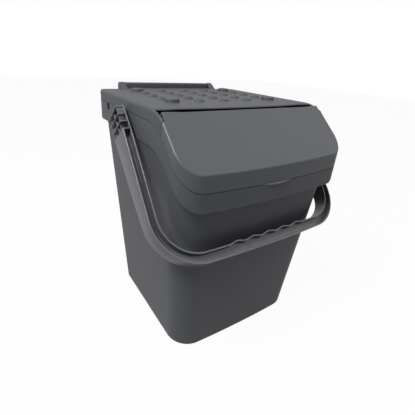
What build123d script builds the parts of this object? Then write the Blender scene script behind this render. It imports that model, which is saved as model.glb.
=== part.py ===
"""Stackable kitchen caddy: drafted tub with a sloping collar, studded lid, front flap and bail handle.

The origin is on the floor under the middle of the base. X runs to the right of someone who faces
the front, the front looks along -Y, and Z is up. All sizes are millimetres.
"""
from build123d import *
import os
from math import acos, atan2, cos, degrees, hypot, pi, radians, sin, tan

# Walls and clearances
WALL = 2.6
FLOOR_THICKNESS = 3.0
PARTING_GAP = 0.4
RUNNING_GAP = 0.8
PIN_CLEARANCE = 0.08

# Draft of the tub's walls, and slope of the shoulders, in degrees
DRAFT_ANGLE = 3.6
SHOULDER_SLOPE = 45.0
DRAFT = tan(radians(DRAFT_ANGLE))
SLOPE = tan(radians(SHOULDER_SLOPE))

# Rim plan, shared by the collar, the lid and the flap
RIM_HALF_WIDTH = 160.0
RIM_FRONT = -156.0
RIM_BACK = 172.0
RIM_FRONT_LEAN = 2.31
RIM_FRONT_CORNER = 32.0
RIM_BACK_CORNER = 12.0

# Shoulder lines seen from the side: level at the back, then a bend, then a slope to the front
RIM_HEIGHT_BACK = 388.0
SHOULDER_DROP = 77.0
RIM_BEND = 80.0
COLLAR_BAND_BACK = 34.0
COLLAR_BAND_FRONT = 29.0
COLLAR_BOTTOM_BEND = 90.0
RIM_HEIGHT_FRONT = RIM_HEIGHT_BACK - SHOULDER_DROP
COLLAR_BOTTOM_BACK = RIM_HEIGHT_BACK - COLLAR_BAND_BACK
COLLAR_BOTTOM_FRONT = RIM_HEIGHT_FRONT - COLLAR_BAND_FRONT

# Tub: a drafted box with a bowed front, inside the rim's plan by a step on each side
COLLAR_SIDE_STEP = 1.73
COLLAR_FRONT_STEP = 13.26
COLLAR_BACK_STEP = 24.73
BASE_FRONT_CORNER = 41.0
BASE_BACK_CORNER = 18.0
BASE_FRONT_LEAN = 2.41
BASE_EDGE_BREAK = 2.0
BASE_HALF_WIDTH = RIM_HALF_WIDTH - COLLAR_SIDE_STEP - COLLAR_BOTTOM_BACK * DRAFT
BASE_FRONT = RIM_FRONT + COLLAR_FRONT_STEP + COLLAR_BOTTOM_FRONT * DRAFT
BASE_BACK = RIM_BACK - COLLAR_BACK_STEP - COLLAR_BOTTOM_BACK * DRAFT

# Lid
LID_RISE = 19.0
FACE_RUN = 73.6
LID_FRONT_BOW = 6.0
LID_FRONT_ROUND = 1.8
CREASE_ROUND = 4.0
CHEEK_WIDTH = 3.0
CHEEK_STEP = 7.6
CHEEK_DROP = 10.5
CHEEK_RUN = 38.0
CROWN_STEP = 4.0
CROWN_RUN = 14.0
CROWN_DROP = 3.0
LID_TOP = RIM_HEIGHT_BACK + LID_RISE
LID_FRONT = RIM_FRONT + FACE_RUN
CHEEK_FRONT = LID_FRONT - CHEEK_STEP
CHEEK_INNER_HALF_WIDTH = RIM_HALF_WIDTH - CHEEK_WIDTH
CROWN_HALF_WIDTH = CHEEK_INNER_HALF_WIDTH - CROWN_STEP
FLAP_PIN_END = CHEEK_INNER_HALF_WIDTH + WALL / 2

# Studs and domes on the lid, on one grid
STUD_SIDE_MARGIN = 58.4
STUD_BACK_MARGIN = 46.5
STUD_PITCH_Y = 34.0
STUD_COUNT = 5
STUD_DIAMETER = 24.0
STUD_HEIGHT = 5.0
STUD_EDGE = 1.6
DOME_DIAMETER = 17.0
DOME_HEIGHT = 2.6
DOME_SIDES = 12
STUD_PITCH_X = 2 * (RIM_HALF_WIDTH - STUD_SIDE_MARGIN) / (STUD_COUNT - 1)
STUD_GRID_Y = RIM_BACK - STUD_BACK_MARGIN - STUD_PITCH_Y * (STUD_COUNT - 1) / 2

# Stacking sockets under the base, which take the corner studs of the lid below
SOCKET_CLEARANCE = 1.5
SOCKET_DEPTH = 7.0
STACK_OFFSET = 42.5

# Lid hinge
LID_AXIS_BEHIND_RIM = 19.0
LID_AXIS_OVER_LID = 2.0
EAR_RADIUS = 9.0
EAR_INNER = 101.5
EAR_WIDTH = 11.0
EAR_LAP = 5.0
EAR_ROOT_RISE = 10.0
NOTCH_GAP = 1.6
BAR_GAP = 3.0
BAR_HALF_HEIGHT = 8.0
BAR_HALF_DEPTH = 7.5
BAR_ROUND = 2.5
HINGE_ROD_DIAMETER = 6.0
LID_AXIS_Y = RIM_BACK + LID_AXIS_BEHIND_RIM
LID_AXIS_Z = LID_TOP + LID_AXIS_OVER_LID
EAR_OUTER = EAR_INNER + EAR_WIDTH
EAR_FRONT = RIM_BACK - EAR_LAP
EAR_ROOT_HEIGHT = COLLAR_BOTTOM_BACK + EAR_ROOT_RISE

# Flap
SKIRT_HEIGHT = 26.0
FLAP_AXIS_STEP = 1.1
FLAP_AXIS_DROP = 10.2
FLAP_BARREL_RADIUS = 4.0
FLAP_PIN_DIAMETER = 4.0
FLAP_PIN_DEPTH = 14.0
FLAP_BRACKET_RADIUS = 6.5
APRON_REACH = 9.5
APRON_THICKNESS = 2.0
APRON_SIDE_GAP = 4.0
TAB_HALF_WIDTH = 28.0
TAB_REACH = 4.5
TAB_DROP = 3.0
TAB_HEIGHT = 5.0
BEVEL_HEIGHT_FRONT = RIM_HEIGHT_FRONT + SKIRT_HEIGHT
FLAP_AXIS_Y = LID_FRONT - FLAP_AXIS_STEP
FLAP_AXIS_Z = LID_TOP - FLAP_AXIS_DROP

# Bag slots in the collar's side bands
SLOT_BACK_MARGIN = 53.0
SLOT_WIDTH = 3.0
SLOT_DEPTH = 12.0
SLOT_Y = RIM_BACK - SLOT_BACK_MARGIN

# Handle, in its own frame: t runs from the pivot along the arm, n runs out of the handle's plane
HANDLE_PIVOT_Y = 32.0
HANDLE_PIVOT_DROP = 14.0
HANDLE_EYE_RADIUS = 22.0
HANDLE_SIDE_GAP = 5.2
HANDLE_ARM_WIDTH = 14.3
HANDLE_FLARE = 11.0
HANDLE_BAR_REACH = 256.0
HANDLE_BAR_WIDTH = 18.0
HANDLE_BAR_DEPTH = 24.0
HANDLE_BAR_BOW = 8.0
HANDLE_INNER_BOW = 3.5
HANDLE_INNER_CORNER = 57.0
HANDLE_FLANGE = 2.5
HANDLE_CHANNEL_DEPTH = 12.0
HANDLE_ARM_REAR_MID = 13.5
HANDLE_REAR_BEND = 60.0
FIN_PITCH = 13.5
FIN_COUNT = 4
FIRST_FIN_T = -9.5
FIN_THICKNESS = 2.4
WALL_START_DROP = 4.8
WALL_START_FOOT = 8.0
WAVE_PITCH = 28.0
WAVE_HEIGHT = 3.2
WAVE_COUNT = 5
WAVE_MIDDLE_X = 22.0
HANDLE_REST_GAP = 0.4
HANDLE_PIVOT_Z = RIM_HEIGHT_BACK - HANDLE_PIVOT_DROP
HANDLE_INNER_HALF_WIDTH = RIM_HALF_WIDTH + HANDLE_SIDE_GAP
HANDLE_OUTER_HALF_WIDTH = HANDLE_INNER_HALF_WIDTH + HANDLE_ARM_WIDTH

# Handle pins
HANDLE_PIN_DIAMETER = 8.0
HANDLE_PIN_HEAD_DIAMETER = 16.0
HANDLE_PIN_HEAD_THICKNESS = 2.0
BOSS_RADIUS = 11.0

# Extents of cutting blocks, well past the model
SPAN = 2 * (HANDLE_OUTER_HALF_WIDTH + 2 * HANDLE_FLARE)
BEHIND = 2 * RIM_BACK
AHEAD = -2 * RIM_FRONT
CLEAR_TOP = LID_TOP + LID_RISE
CLEAR_BOTTOM = COLLAR_BOTTOM_FRONT / 2


def plan(half_width, front, back, lean, front_corner, back_corner):
    """Closed plan outline with straight sides, a bowed front and rounded corners.

    The front is an arc that leans back by the angle lean where it meets the front corners.
    """
    corner_x = half_width - front_corner
    nose_x = corner_x + front_corner * sin(lean)
    nose_y = front + nose_x / sin(lean) * (1 - cos(lean))
    corner_y = nose_y + front_corner * cos(lean)
    half_turn = (lean - pi / 2) / 2
    middle_x = corner_x + front_corner * cos(half_turn)
    middle_y = corner_y + front_corner * sin(half_turn)
    edges = ThreePointArc((-nose_x, nose_y), (0, front), (nose_x, nose_y)).edges()
    for side in (-1, 1):
        corner = ThreePointArc((side * nose_x, nose_y), (side * middle_x, middle_y), (side * half_width, corner_y))
        edges += corner.edges()
    rest = Polyline((half_width, corner_y), (half_width, back), (-half_width, back), (-half_width, corner_y))
    face = make_face(edges + rest.edges())
    return fillet(face.vertices().sort_by(Axis.Y)[-2:], back_corner)


def rim_plan(inset=0.0):
    """Plan outline of the rim, drawn in by inset."""
    return plan(
        RIM_HALF_WIDTH - inset,
        RIM_FRONT + inset,
        RIM_BACK - inset,
        radians(RIM_FRONT_LEAN),
        RIM_FRONT_CORNER - inset,
        RIM_BACK_CORNER - inset,
    )


def tub_plan(height, inset=0.0):
    """Plan outline of the tub at one height, drawn in by inset."""
    grow = height * DRAFT - inset
    return plan(
        BASE_HALF_WIDTH + grow,
        BASE_FRONT - grow,
        BASE_BACK + grow,
        radians(BASE_FRONT_LEAN),
        BASE_FRONT_CORNER - inset,
        BASE_BACK_CORNER - inset,
    )


def tub_block(bottom, inset=0.0):
    """Drafted block of the tub from one height up past the rim, in two lifts that meet under the collar."""
    under_collar = COLLAR_BOTTOM_FRONT - 2 * WALL
    levels = (bottom, under_collar, CLEAR_TOP)
    return loft([Pos(0, 0, z) * tub_plan(z, inset) for z in levels], ruled=True)


def rim_block(inset=0.0):
    """Upright block on the rim's plan, tall enough for the collar, lid and flap."""
    return extrude(Pos(0, 0, CLEAR_BOTTOM) * rim_plan(inset), CLEAR_TOP - CLEAR_BOTTOM)


def side_prism(points):
    """Prism across the full width from (y, z) points."""
    return extrude(Plane.YZ * make_face(Polyline(*points, close=True)), SPAN / 2, both=True)


def below_shoulder(level, front_height, bend, offset=0.0):
    """Everything below a shoulder line that is moved inwards (down) by offset."""
    level = level - offset
    front_height = front_height - offset / cos(radians(SHOULDER_SLOPE))
    corner = (RIM_FRONT + (level - front_height) / SLOPE, level)
    reach = AHEAD / 2
    points = [
        (BEHIND, level),
        corner,
        (RIM_FRONT - reach, front_height - reach * SLOPE),
        (RIM_FRONT - reach, -AHEAD),
        (BEHIND, -AHEAD),
    ]
    face = make_face(Polyline(*points, close=True))
    shoulder = face.vertices().sort_by_distance(Vector(corner[0], corner[1]))[0]
    face = fillet(shoulder, bend - offset)
    return extrude(Plane.YZ * face, SPAN / 2, both=True)


def cylinder_x(radius, x_from, x_to, y, z):
    """Cylinder along X between two stations."""
    middle = (x_from + x_to) / 2
    return Pos(middle, y, z) * Rot(0, 90, 0) * Cylinder(radius, abs(x_to - x_from))


def stud_places():
    """Grid places of the lid's studs and domes, as (x, y, is_corner)."""
    last = STUD_COUNT - 1
    places = []
    for column in range(STUD_COUNT):
        for row in range(STUD_COUNT):
            x = (column - last / 2) * STUD_PITCH_X
            y = STUD_GRID_Y + (row - last / 2) * STUD_PITCH_Y
            places.append((x, y, column in (0, last) and row in (0, last)))
    return places


# Body


def bin_body():
    """Tub, collar, sockets, handle bosses and hinge ears as one moulding."""
    under_rim = below_shoulder(RIM_HEIGHT_BACK, RIM_HEIGHT_FRONT, RIM_BEND)
    under_collar = below_shoulder(COLLAR_BOTTOM_BACK, COLLAR_BOTTOM_FRONT, COLLAR_BOTTOM_BEND)
    foot = [tub_plan(0, BASE_EDGE_BREAK), Pos(0, 0, BASE_EDGE_BREAK) * tub_plan(BASE_EDGE_BREAK)]
    tub = loft(foot, ruled=True) + tub_block(BASE_EDGE_BREAK)
    outer = (tub & under_rim) + ((rim_block() & under_rim) - under_collar)
    ledge = below_shoulder(COLLAR_BOTTOM_BACK, COLLAR_BOTTOM_FRONT, COLLAR_BOTTOM_BEND, -WALL)
    hollow = tub_block(FLOOR_THICKNESS, WALL) + (rim_block(WALL) - ledge)
    body = outer - hollow
    for x, y in socket_places():
        body += Pos(x, y, (SOCKET_DEPTH + WALL) / 2) * Cylinder(socket_radius() + WALL, SOCKET_DEPTH + WALL)
        body -= Pos(x, y, SOCKET_DEPTH / 2) * Cylinder(socket_radius(), SOCKET_DEPTH)
    for side in (-1, 1):
        body += hinge_ear(side)
        body += handle_boss(side)
        body -= handle_pin_hole(side)
        body -= bag_slot(side)
    rod_hole = cylinder_x(HINGE_ROD_DIAMETER / 2 + PIN_CLEARANCE, -rod_half_length(), rod_half_length(),
                          LID_AXIS_Y, LID_AXIS_Z)
    return body - rod_hole


def socket_radius():
    """Bore radius of a stacking socket."""
    return STUD_DIAMETER / 2 + SOCKET_CLEARANCE


def socket_places():
    """Socket centres under the base: the corner studs' places, with the upper caddy set back."""
    return [(x, y - STACK_OFFSET) for x, y, is_corner in stud_places() if is_corner]


def hinge_ear(side):
    """Bracket that stands on the collar's back wall and carries one end of the hinge rod."""
    root = RIM_BACK - WALL / 2
    points = [
        (root, EAR_ROOT_HEIGHT),
        (root, RIM_HEIGHT_BACK - 2 * WALL),
        (EAR_FRONT, RIM_HEIGHT_BACK - WALL),
        (EAR_FRONT, LID_AXIS_Z - EAR_RADIUS / 2),
        (LID_AXIS_Y - EAR_RADIUS / 2, LID_AXIS_Z + EAR_RADIUS * 0.85),
        (LID_AXIS_Y, LID_AXIS_Z),
        (LID_AXIS_Y + EAR_RADIUS, LID_AXIS_Z),
        (LID_AXIS_Y + EAR_RADIUS, LID_AXIS_Z - 2 * EAR_RADIUS),
    ]
    width = EAR_OUTER - EAR_INNER
    middle = side * (EAR_OUTER + EAR_INNER) / 2
    web = extrude(Plane.YZ.offset(middle) * make_face(Polyline(*points, close=True)), width / 2, both=True)
    head = cylinder_x(EAR_RADIUS, middle - width / 2, middle + width / 2, LID_AXIS_Y, LID_AXIS_Z)
    return web + head


def rod_half_length():
    """Half length of the hinge rod's hole, which is blind in both ears."""
    return EAR_OUTER - WALL


def handle_boss(side):
    """Round boss on the collar that the handle's arm turns against."""
    face = side * (HANDLE_INNER_HALF_WIDTH - PARTING_GAP)
    return cylinder_x(BOSS_RADIUS, side * (RIM_HALF_WIDTH - WALL), face, HANDLE_PIVOT_Y, HANDLE_PIVOT_Z)


def handle_pin_hole(side):
    """Hole for a handle pin through the collar and its boss."""
    radius = HANDLE_PIN_DIAMETER / 2 + PIN_CLEARANCE / 2
    inside = side * (RIM_HALF_WIDTH - 3 * WALL)
    outside = side * (HANDLE_INNER_HALF_WIDTH + WALL)
    return cylinder_x(radius, inside, outside, HANDLE_PIVOT_Y, HANDLE_PIVOT_Z)


def bag_slot(side):
    """Narrow slot down from the rim, which grips the edge of a bag."""
    x = side * (RIM_HALF_WIDTH - WALL / 2)
    z = RIM_HEIGHT_BACK - SLOT_DEPTH / 2
    return Pos(x, SLOT_Y, z) * Box(3 * WALL, SLOT_WIDTH, SLOT_DEPTH)


# Lid


def cheek_line_prism(offset=0.0):
    """Everything below the lid's top line: level, then bending down to the cheeks' front."""
    bend_start = CHEEK_FRONT + CHEEK_RUN
    radius = (CHEEK_RUN ** 2 + CHEEK_DROP ** 2) / (2 * CHEEK_DROP) - offset
    centre_z = LID_TOP - offset - radius
    turn = atan2(CHEEK_RUN, radius + offset - CHEEK_DROP) * 1.25
    end = (bend_start - radius * sin(turn), centre_z + radius * cos(turn))
    middle = (bend_start - radius * sin(turn / 2), centre_z + radius * cos(turn / 2))
    top = (bend_start, LID_TOP - offset)
    arc = ThreePointArc(top, middle, end)
    low = CLEAR_BOTTOM
    rest = Polyline(end, (end[0], low), (BEHIND, low), (BEHIND, LID_TOP - offset), top)
    return extrude(Plane.YZ * make_face(arc.edges() + rest.edges()), SPAN / 2, both=True)


def lip_block(offset=0.0):
    """Front part of the lid's top between the cheeks, level in the middle and falling to its ends."""
    top = LID_TOP - offset
    half = CROWN_HALF_WIDTH - offset
    low = LID_TOP - 2 * CHEEK_DROP
    points = [
        (-half, low),
        (-half, top - CROWN_DROP),
        (CROWN_RUN - half, top),
        (half - CROWN_RUN, top),
        (half, top - CROWN_DROP),
        (half, low),
    ]
    length = CHEEK_RUN + CREASE_ROUND
    face = Plane.XZ.offset(-CHEEK_FRONT - length) * make_face(Polyline(*points, close=True))
    return extrude(face, length)


def lid_front_cutter():
    """Everything in front of the lid: ahead of the bowed lip, and ahead of the cheeks."""
    front = LID_FRONT
    left = (-CHEEK_INNER_HALF_WIDTH, front + LID_FRONT_BOW)
    right = (CHEEK_INNER_HALF_WIDTH, front + LID_FRONT_BOW)
    lip = ThreePointArc(left, (0, front), right)
    ahead = 2 * RIM_FRONT
    rest = Polyline(right, (CHEEK_INNER_HALF_WIDTH, ahead), (-CHEEK_INNER_HALF_WIDTH, ahead), left)
    middle = extrude(make_face(lip.edges() + rest.edges()), 2 * LID_TOP)
    return middle + Pos(0, CHEEK_FRONT + ahead / 2, LID_TOP) * Box(SPAN, -ahead, 2 * LID_TOP)


def lid():
    """Lid shell with studs, domes, hinge bar, cheeks and flap brackets."""
    under_rim = below_shoulder(RIM_HEIGHT_BACK, RIM_HEIGHT_FRONT, RIM_BEND, -PARTING_GAP)
    block = rim_block() & cheek_line_prism()
    crease = block.edges().filter_by(lambda edge: edge.center().Z > LID_TOP - CHEEK_DROP / 2)
    crease = crease.filter_by(lambda edge: not on_front(edge))
    block = fillet(crease, CREASE_ROUND) + lip_block()
    shell = block - (rim_block(WALL) & cheek_line_prism(WALL)) - lip_block(WALL) - under_rim
    shell -= lid_front_cutter()
    lip = shell.edges().filter_by(is_lip_edge)
    shell = fillet(lip, LID_FRONT_ROUND)
    for side in (-1, 1):
        notch_width = EAR_OUTER - EAR_INNER + 2 * NOTCH_GAP
        notch_depth = RIM_BACK - EAR_FRONT + NOTCH_GAP
        x = side * (EAR_OUTER + EAR_INNER) / 2
        shell -= Pos(x, RIM_BACK - notch_depth / 2 + WALL, LID_TOP) * Box(
            notch_width, notch_depth + 2 * WALL, 3 * LID_RISE)
        shell += flap_bracket(side)
        shell -= flap_pin_hole(side)
    for x, y, is_corner in stud_places():
        shell += Pos(x, y, LID_TOP) * (stud() if is_corner else dome())
    return shell + hinge_bar()


def on_front(edge):
    """True for an edge that lies across the front end of the lid's block."""
    box = edge.bounding_box()
    return box.max.Y < CHEEK_FRONT - 1 or (box.max.Y - box.min.Y < 0.01 and box.max.Y < 0)


def is_lip_edge(edge):
    """True for the top edge of the lid's bowed front lip."""
    box = edge.bounding_box()
    level = box.max.Z - box.min.Z < 0.01 and abs(box.max.Z - LID_TOP) < 0.01
    return level and box.max.Y < LID_FRONT + LID_FRONT_BOW + 0.1 and box.max.X - box.min.X > RIM_HALF_WIDTH / 2


def stud():
    """Round stacking stud with a broken top edge, sunk a little into the lid."""
    height = STUD_HEIGHT + WALL / 2
    body = Cylinder(STUD_DIAMETER / 2, height, align=(Align.CENTER, Align.CENTER, Align.MIN))
    body = chamfer(body.edges().sort_by(Axis.Z)[-1], STUD_EDGE)
    return Pos(0, 0, -WALL / 2) * body


def dome():
    """Low dome, as a many-sided frustum that follows it and is sunk a little into the lid."""
    sink = WALL / 4
    spread = DOME_DIAMETER / 4 * sink / DOME_HEIGHT
    foot = Pos(0, 0, -sink) * RegularPolygon(DOME_DIAMETER / 2 + spread, DOME_SIDES)
    crown = Pos(0, 0, DOME_HEIGHT) * RegularPolygon(DOME_DIAMETER / 4, DOME_SIDES)
    return loft([foot, crown], ruled=True)


def hinge_bar():
    """Bar along the lid's back edge, bored for the hinge rod."""
    half_length = EAR_INNER - BAR_GAP
    section = RectangleRounded(2 * BAR_HALF_DEPTH, 2 * BAR_HALF_HEIGHT, BAR_ROUND)
    bar = extrude(Plane.YZ * Pos(LID_AXIS_Y, LID_AXIS_Z) * section, half_length, both=True)
    web_depth = LID_AXIS_Y - BAR_HALF_DEPTH / 2 - (RIM_BACK - 2 * CREASE_ROUND)
    web_y = LID_AXIS_Y - BAR_HALF_DEPTH / 2 - web_depth / 2
    bar += Pos(0, web_y, LID_TOP - WALL / 2) * Box(2 * half_length, web_depth, WALL)
    return bar - cylinder_x(HINGE_ROD_DIAMETER / 2 + PIN_CLEARANCE, -EAR_OUTER, EAR_OUTER,
                            LID_AXIS_Y, LID_AXIS_Z)


def bracket_inner():
    """Inner face of a flap bracket."""
    return CHEEK_INNER_HALF_WIDTH - WALL


def flap_bracket(side):
    """Bracket inside a cheek that holds one flap pin."""
    middle = side * (bracket_inner() + WALL / 2)
    eye = cylinder_x(FLAP_BRACKET_RADIUS, side * bracket_inner(), side * CHEEK_INNER_HALF_WIDTH,
                     FLAP_AXIS_Y, FLAP_AXIS_Z)
    root = LID_TOP - WALL
    points = [
        (FLAP_AXIS_Y, FLAP_AXIS_Z - FLAP_BRACKET_RADIUS),
        (FLAP_AXIS_Y + 3 * FLAP_BRACKET_RADIUS, root + WALL / 2),
        (LID_FRONT + LID_FRONT_BOW + WALL, root + WALL / 2),
        (FLAP_AXIS_Y, FLAP_AXIS_Z + FLAP_BRACKET_RADIUS),
    ]
    web = extrude(Plane.YZ.offset(middle) * make_face(Polyline(*points, close=True)), WALL / 2, both=True)
    skin = rim_block() & cheek_line_prism()
    floor = CHEEK_INNER_HALF_WIDTH + RIM_HALF_WIDTH
    tie_width = RIM_HALF_WIDTH - WALL / 2 - bracket_inner()
    tie = Pos(side * (floor / 2 - WALL), FLAP_AXIS_Y + FLAP_BRACKET_RADIUS + WALL, root - WALL) * Box(
        tie_width, WALL, 3 * WALL)
    return (eye + web + tie) & skin


def flap_pin_hole(side):
    """Hole for a flap pin through its bracket."""
    radius = FLAP_PIN_DIAMETER / 2 + PIN_CLEARANCE / 2
    return cylinder_x(radius, side * (bracket_inner() - WALL), side * (FLAP_PIN_END + PIN_CLEARANCE),
                      FLAP_AXIS_Y, FLAP_AXIS_Z)


# Flap


def flap_slope():
    """Angle of the flap's face, tangent to its barrel and down to the bevel at the front."""
    run = FLAP_AXIS_Y - RIM_FRONT
    drop = FLAP_AXIS_Z - BEVEL_HEIGHT_FRONT
    return atan2(drop, run) + atan2(FLAP_BARREL_RADIUS, hypot(run, drop))


def below_flap_face(offset=0.0):
    """Everything below the flap's face when that is moved inwards by offset."""
    slope = flap_slope()
    normal = (-sin(slope), cos(slope))
    lift = FLAP_BARREL_RADIUS - offset
    foot = (FLAP_AXIS_Y + lift * normal[0], FLAP_AXIS_Z + lift * normal[1])
    reach = 2 * LID_TOP
    along = (cos(slope), sin(slope))
    points = [
        (foot[0] - reach * along[0], foot[1] - reach * along[1]),
        foot,
        (foot[0] + LID_RISE * along[0], foot[1] + LID_RISE * along[1]),
        (foot[0] + LID_RISE * along[0], foot[1] - reach * along[1]),
    ]
    return side_prism(points)


def front_flap():
    """Sloping front flap with its skirt, pull tab and hinge barrel."""
    half = bracket_inner() - RUNNING_GAP
    slope = flap_slope()
    tangent_y = FLAP_AXIS_Y - FLAP_BARREL_RADIUS * sin(slope)
    under_rim = below_shoulder(RIM_HEIGHT_BACK, RIM_HEIGHT_FRONT, RIM_BEND, -PARTING_GAP)
    block = rim_block() & below_flap_face()
    keep = block.edges().filter_by(lambda edge: is_bevel_edge(edge, tangent_y))
    block = fillet(keep, CREASE_ROUND)
    shell = block - (rim_block(WALL) & below_flap_face(WALL)) - under_rim
    ahead = 2 * RIM_FRONT
    sides = Pos(0, CHEEK_FRONT - RUNNING_GAP + ahead / 2, LID_TOP) * Box(SPAN, -ahead, 2 * LID_TOP)
    middle = Pos(0, tangent_y + ahead / 2, LID_TOP) * Box(2 * half, -ahead, 2 * LID_TOP)
    shell = shell & (sides + middle)
    shell += cylinder_x(FLAP_BARREL_RADIUS, -half, half, FLAP_AXIS_Y, FLAP_AXIS_Z)
    apron_z = FLAP_AXIS_Z + FLAP_BARREL_RADIUS - APRON_THICKNESS / 2
    shell += Pos(0, FLAP_AXIS_Y + APRON_REACH / 2, apron_z) * Box(
        2 * (half - APRON_SIDE_GAP), APRON_REACH, APRON_THICKNESS)
    for side in (-1, 1):
        radius = FLAP_PIN_DIAMETER / 2 + PIN_CLEARANCE
        shell -= cylinder_x(radius, side * (half - FLAP_PIN_DEPTH), side * (half + WALL),
                            FLAP_AXIS_Y, FLAP_AXIS_Z)
    return shell + pull_tab()


def is_bevel_edge(edge, tangent_y):
    """True for the edges where the flap's face meets its skirt."""
    centre = edge.center()
    slope = flap_slope()
    away = (centre.Y - FLAP_AXIS_Y) * -sin(slope) + (centre.Z - FLAP_AXIS_Z) * cos(slope)
    box = edge.bounding_box()
    across = box.max.Y - box.min.Y < 0.01
    return away > FLAP_BARREL_RADIUS - 1.5 and not (across and box.max.Y > tangent_y)


def pull_tab():
    """Crescent lip in the middle of the flap's lower edge."""
    bottom = RIM_HEIGHT_FRONT - TAB_DROP
    root_y = RIM_FRONT + WALL / 2
    outline = ThreePointArc((-TAB_HALF_WIDTH, root_y), (0, RIM_FRONT - TAB_REACH), (TAB_HALF_WIDTH, root_y))
    back = Line((-TAB_HALF_WIDTH, root_y), (TAB_HALF_WIDTH, root_y))
    lens = extrude(Pos(0, 0, bottom) * make_face(outline.edges() + back.edges()), TAB_HEIGHT)
    under_rim = below_shoulder(RIM_HEIGHT_BACK, RIM_HEIGHT_FRONT, RIM_BEND, -PARTING_GAP)
    return lens - (rim_block(-PARTING_GAP) & under_rim)


# Handle


def arm_rim():
    """Height n of the handle's front rims over its pivot."""
    return HANDLE_EYE_RADIUS


def bar_inner_reach():
    """Distance t from the pivot to the inner face of the bar."""
    return HANDLE_BAR_REACH - HANDLE_BAR_WIDTH


def handle_rest_angle():
    """Angle of the arms below level, with the bar's back edge just off the front wall."""
    n = arm_rim() - HANDLE_BAR_DEPTH
    length = hypot(bar_inner_reach(), n)
    lean = atan2(n, bar_inner_reach())
    draft = radians(DRAFT_ANGLE)
    wall = (HANDLE_PIVOT_Y - BASE_FRONT) * cos(draft) + HANDLE_PIVOT_Z * sin(draft) + HANDLE_REST_GAP
    return lean + draft + acos(wall / length)


def handle_plane():
    """The handle's own frame at rest: x to the right, y back along the arms, z out of the plane."""
    angle = handle_rest_angle()
    return Plane(
        origin=(0, HANDLE_PIVOT_Y, HANDLE_PIVOT_Z),
        x_dir=(1, 0, 0),
        z_dir=(0, -sin(angle), cos(angle)),
    )


def ladder_end():
    """Distance t of the last fin, where the full channel starts."""
    return FIRST_FIN_T + (FIN_COUNT - 1) * FIN_PITCH


def bail(half_width, reach, bow, corner, top):
    """Face inside one line of the bail: parallel ends, flared arms and a bowed bar."""
    flare = HANDLE_FLARE
    elbow = -ladder_end()
    bar_end = bow - reach
    left = (-half_width - flare, bar_end)
    right = (half_width + flare, bar_end)
    bar = ThreePointArc(left, (0, -reach), right)
    rest = Polyline(right, (half_width, elbow), (half_width, top), (-half_width, top), (-half_width, elbow), left)
    face = make_face(bar.edges() + rest.edges())
    return fillet(face.vertices().sort_by(Axis.Y)[:2], corner)


def finger_waves(shift=0.0):
    """Region of the finger waves on the bar's inner face, moved towards the bar by shift.

    The waves are arcs that meet at a quarter and three quarters of each pitch.
    """
    quarter = WAVE_PITCH / 4
    left = WAVE_MIDDLE_X - WAVE_COUNT * WAVE_PITCH / 2
    radius = (quarter ** 2 + (WAVE_HEIGHT / 2) ** 2) / WAVE_HEIGHT
    early = radius - (radius ** 2 - (quarter / 2) ** 2) ** 0.5
    stations = [0, 0.5]
    rises = [0, early]
    for step in range(1, 4 * WAVE_COUNT):
        stations.append(step)
        rises.append((0, WAVE_HEIGHT / 2, WAVE_HEIGHT, WAVE_HEIGHT / 2)[step % 4])
    stations += [4 * WAVE_COUNT - 0.5, 4 * WAVE_COUNT]
    rises += [early, 0]
    points = []
    for station, rise in zip(stations, rises):
        x = left + station * quarter
        points.append((x, bar_line(x) + rise - shift))
    crest = []
    for index in range(0, len(points) - 2, 2):
        crest += ThreePointArc(*points[index:index + 3]).edges()
    start = points[0]
    finish = points[-1]
    depth = HANDLE_BAR_WIDTH / 2
    rest = Polyline(finish, (finish[0], finish[1] - depth), (start[0], start[1] - depth), start)
    return make_face(crest + rest.edges())


def bar_line(x):
    """Height along y of the bar's inner face at one x."""
    half = HANDLE_INNER_HALF_WIDTH + HANDLE_FLARE
    return -bar_inner_reach() + HANDLE_INNER_BOW * (x / half) ** 2


def arm_profile():
    """Side outline of the handle in (t, n), as a prism across its full width."""
    rear = HANDLE_EYE_RADIUS
    back = arm_rim() - HANDLE_BAR_DEPTH
    points = [
        (0, arm_rim()),
        (HANDLE_BAR_REACH + HANDLE_BAR_WIDTH, arm_rim()),
        (HANDLE_BAR_REACH + HANDLE_BAR_WIDTH, back),
        (bar_inner_reach() - HANDLE_BAR_WIDTH / 2, back),
        (bar_inner_reach() * 0.62, -HANDLE_ARM_REAR_MID),
        (0, -rear),
    ]
    face = make_face(Polyline(*[(-t, n) for t, n in points], close=True))
    bends = face.vertices().sort_by_distance(Vector(-points[3][0], points[3][1]))[:1]
    bends += face.vertices().sort_by_distance(Vector(-points[4][0], points[4][1]))[:1]
    face = fillet(bends, HANDLE_REAR_BEND)
    web = extrude(Plane.YZ * face, SPAN / 2, both=True)
    eye = cylinder_x(HANDLE_EYE_RADIUS, -SPAN / 2, SPAN / 2, 0, 0)
    return web + eye


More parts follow.
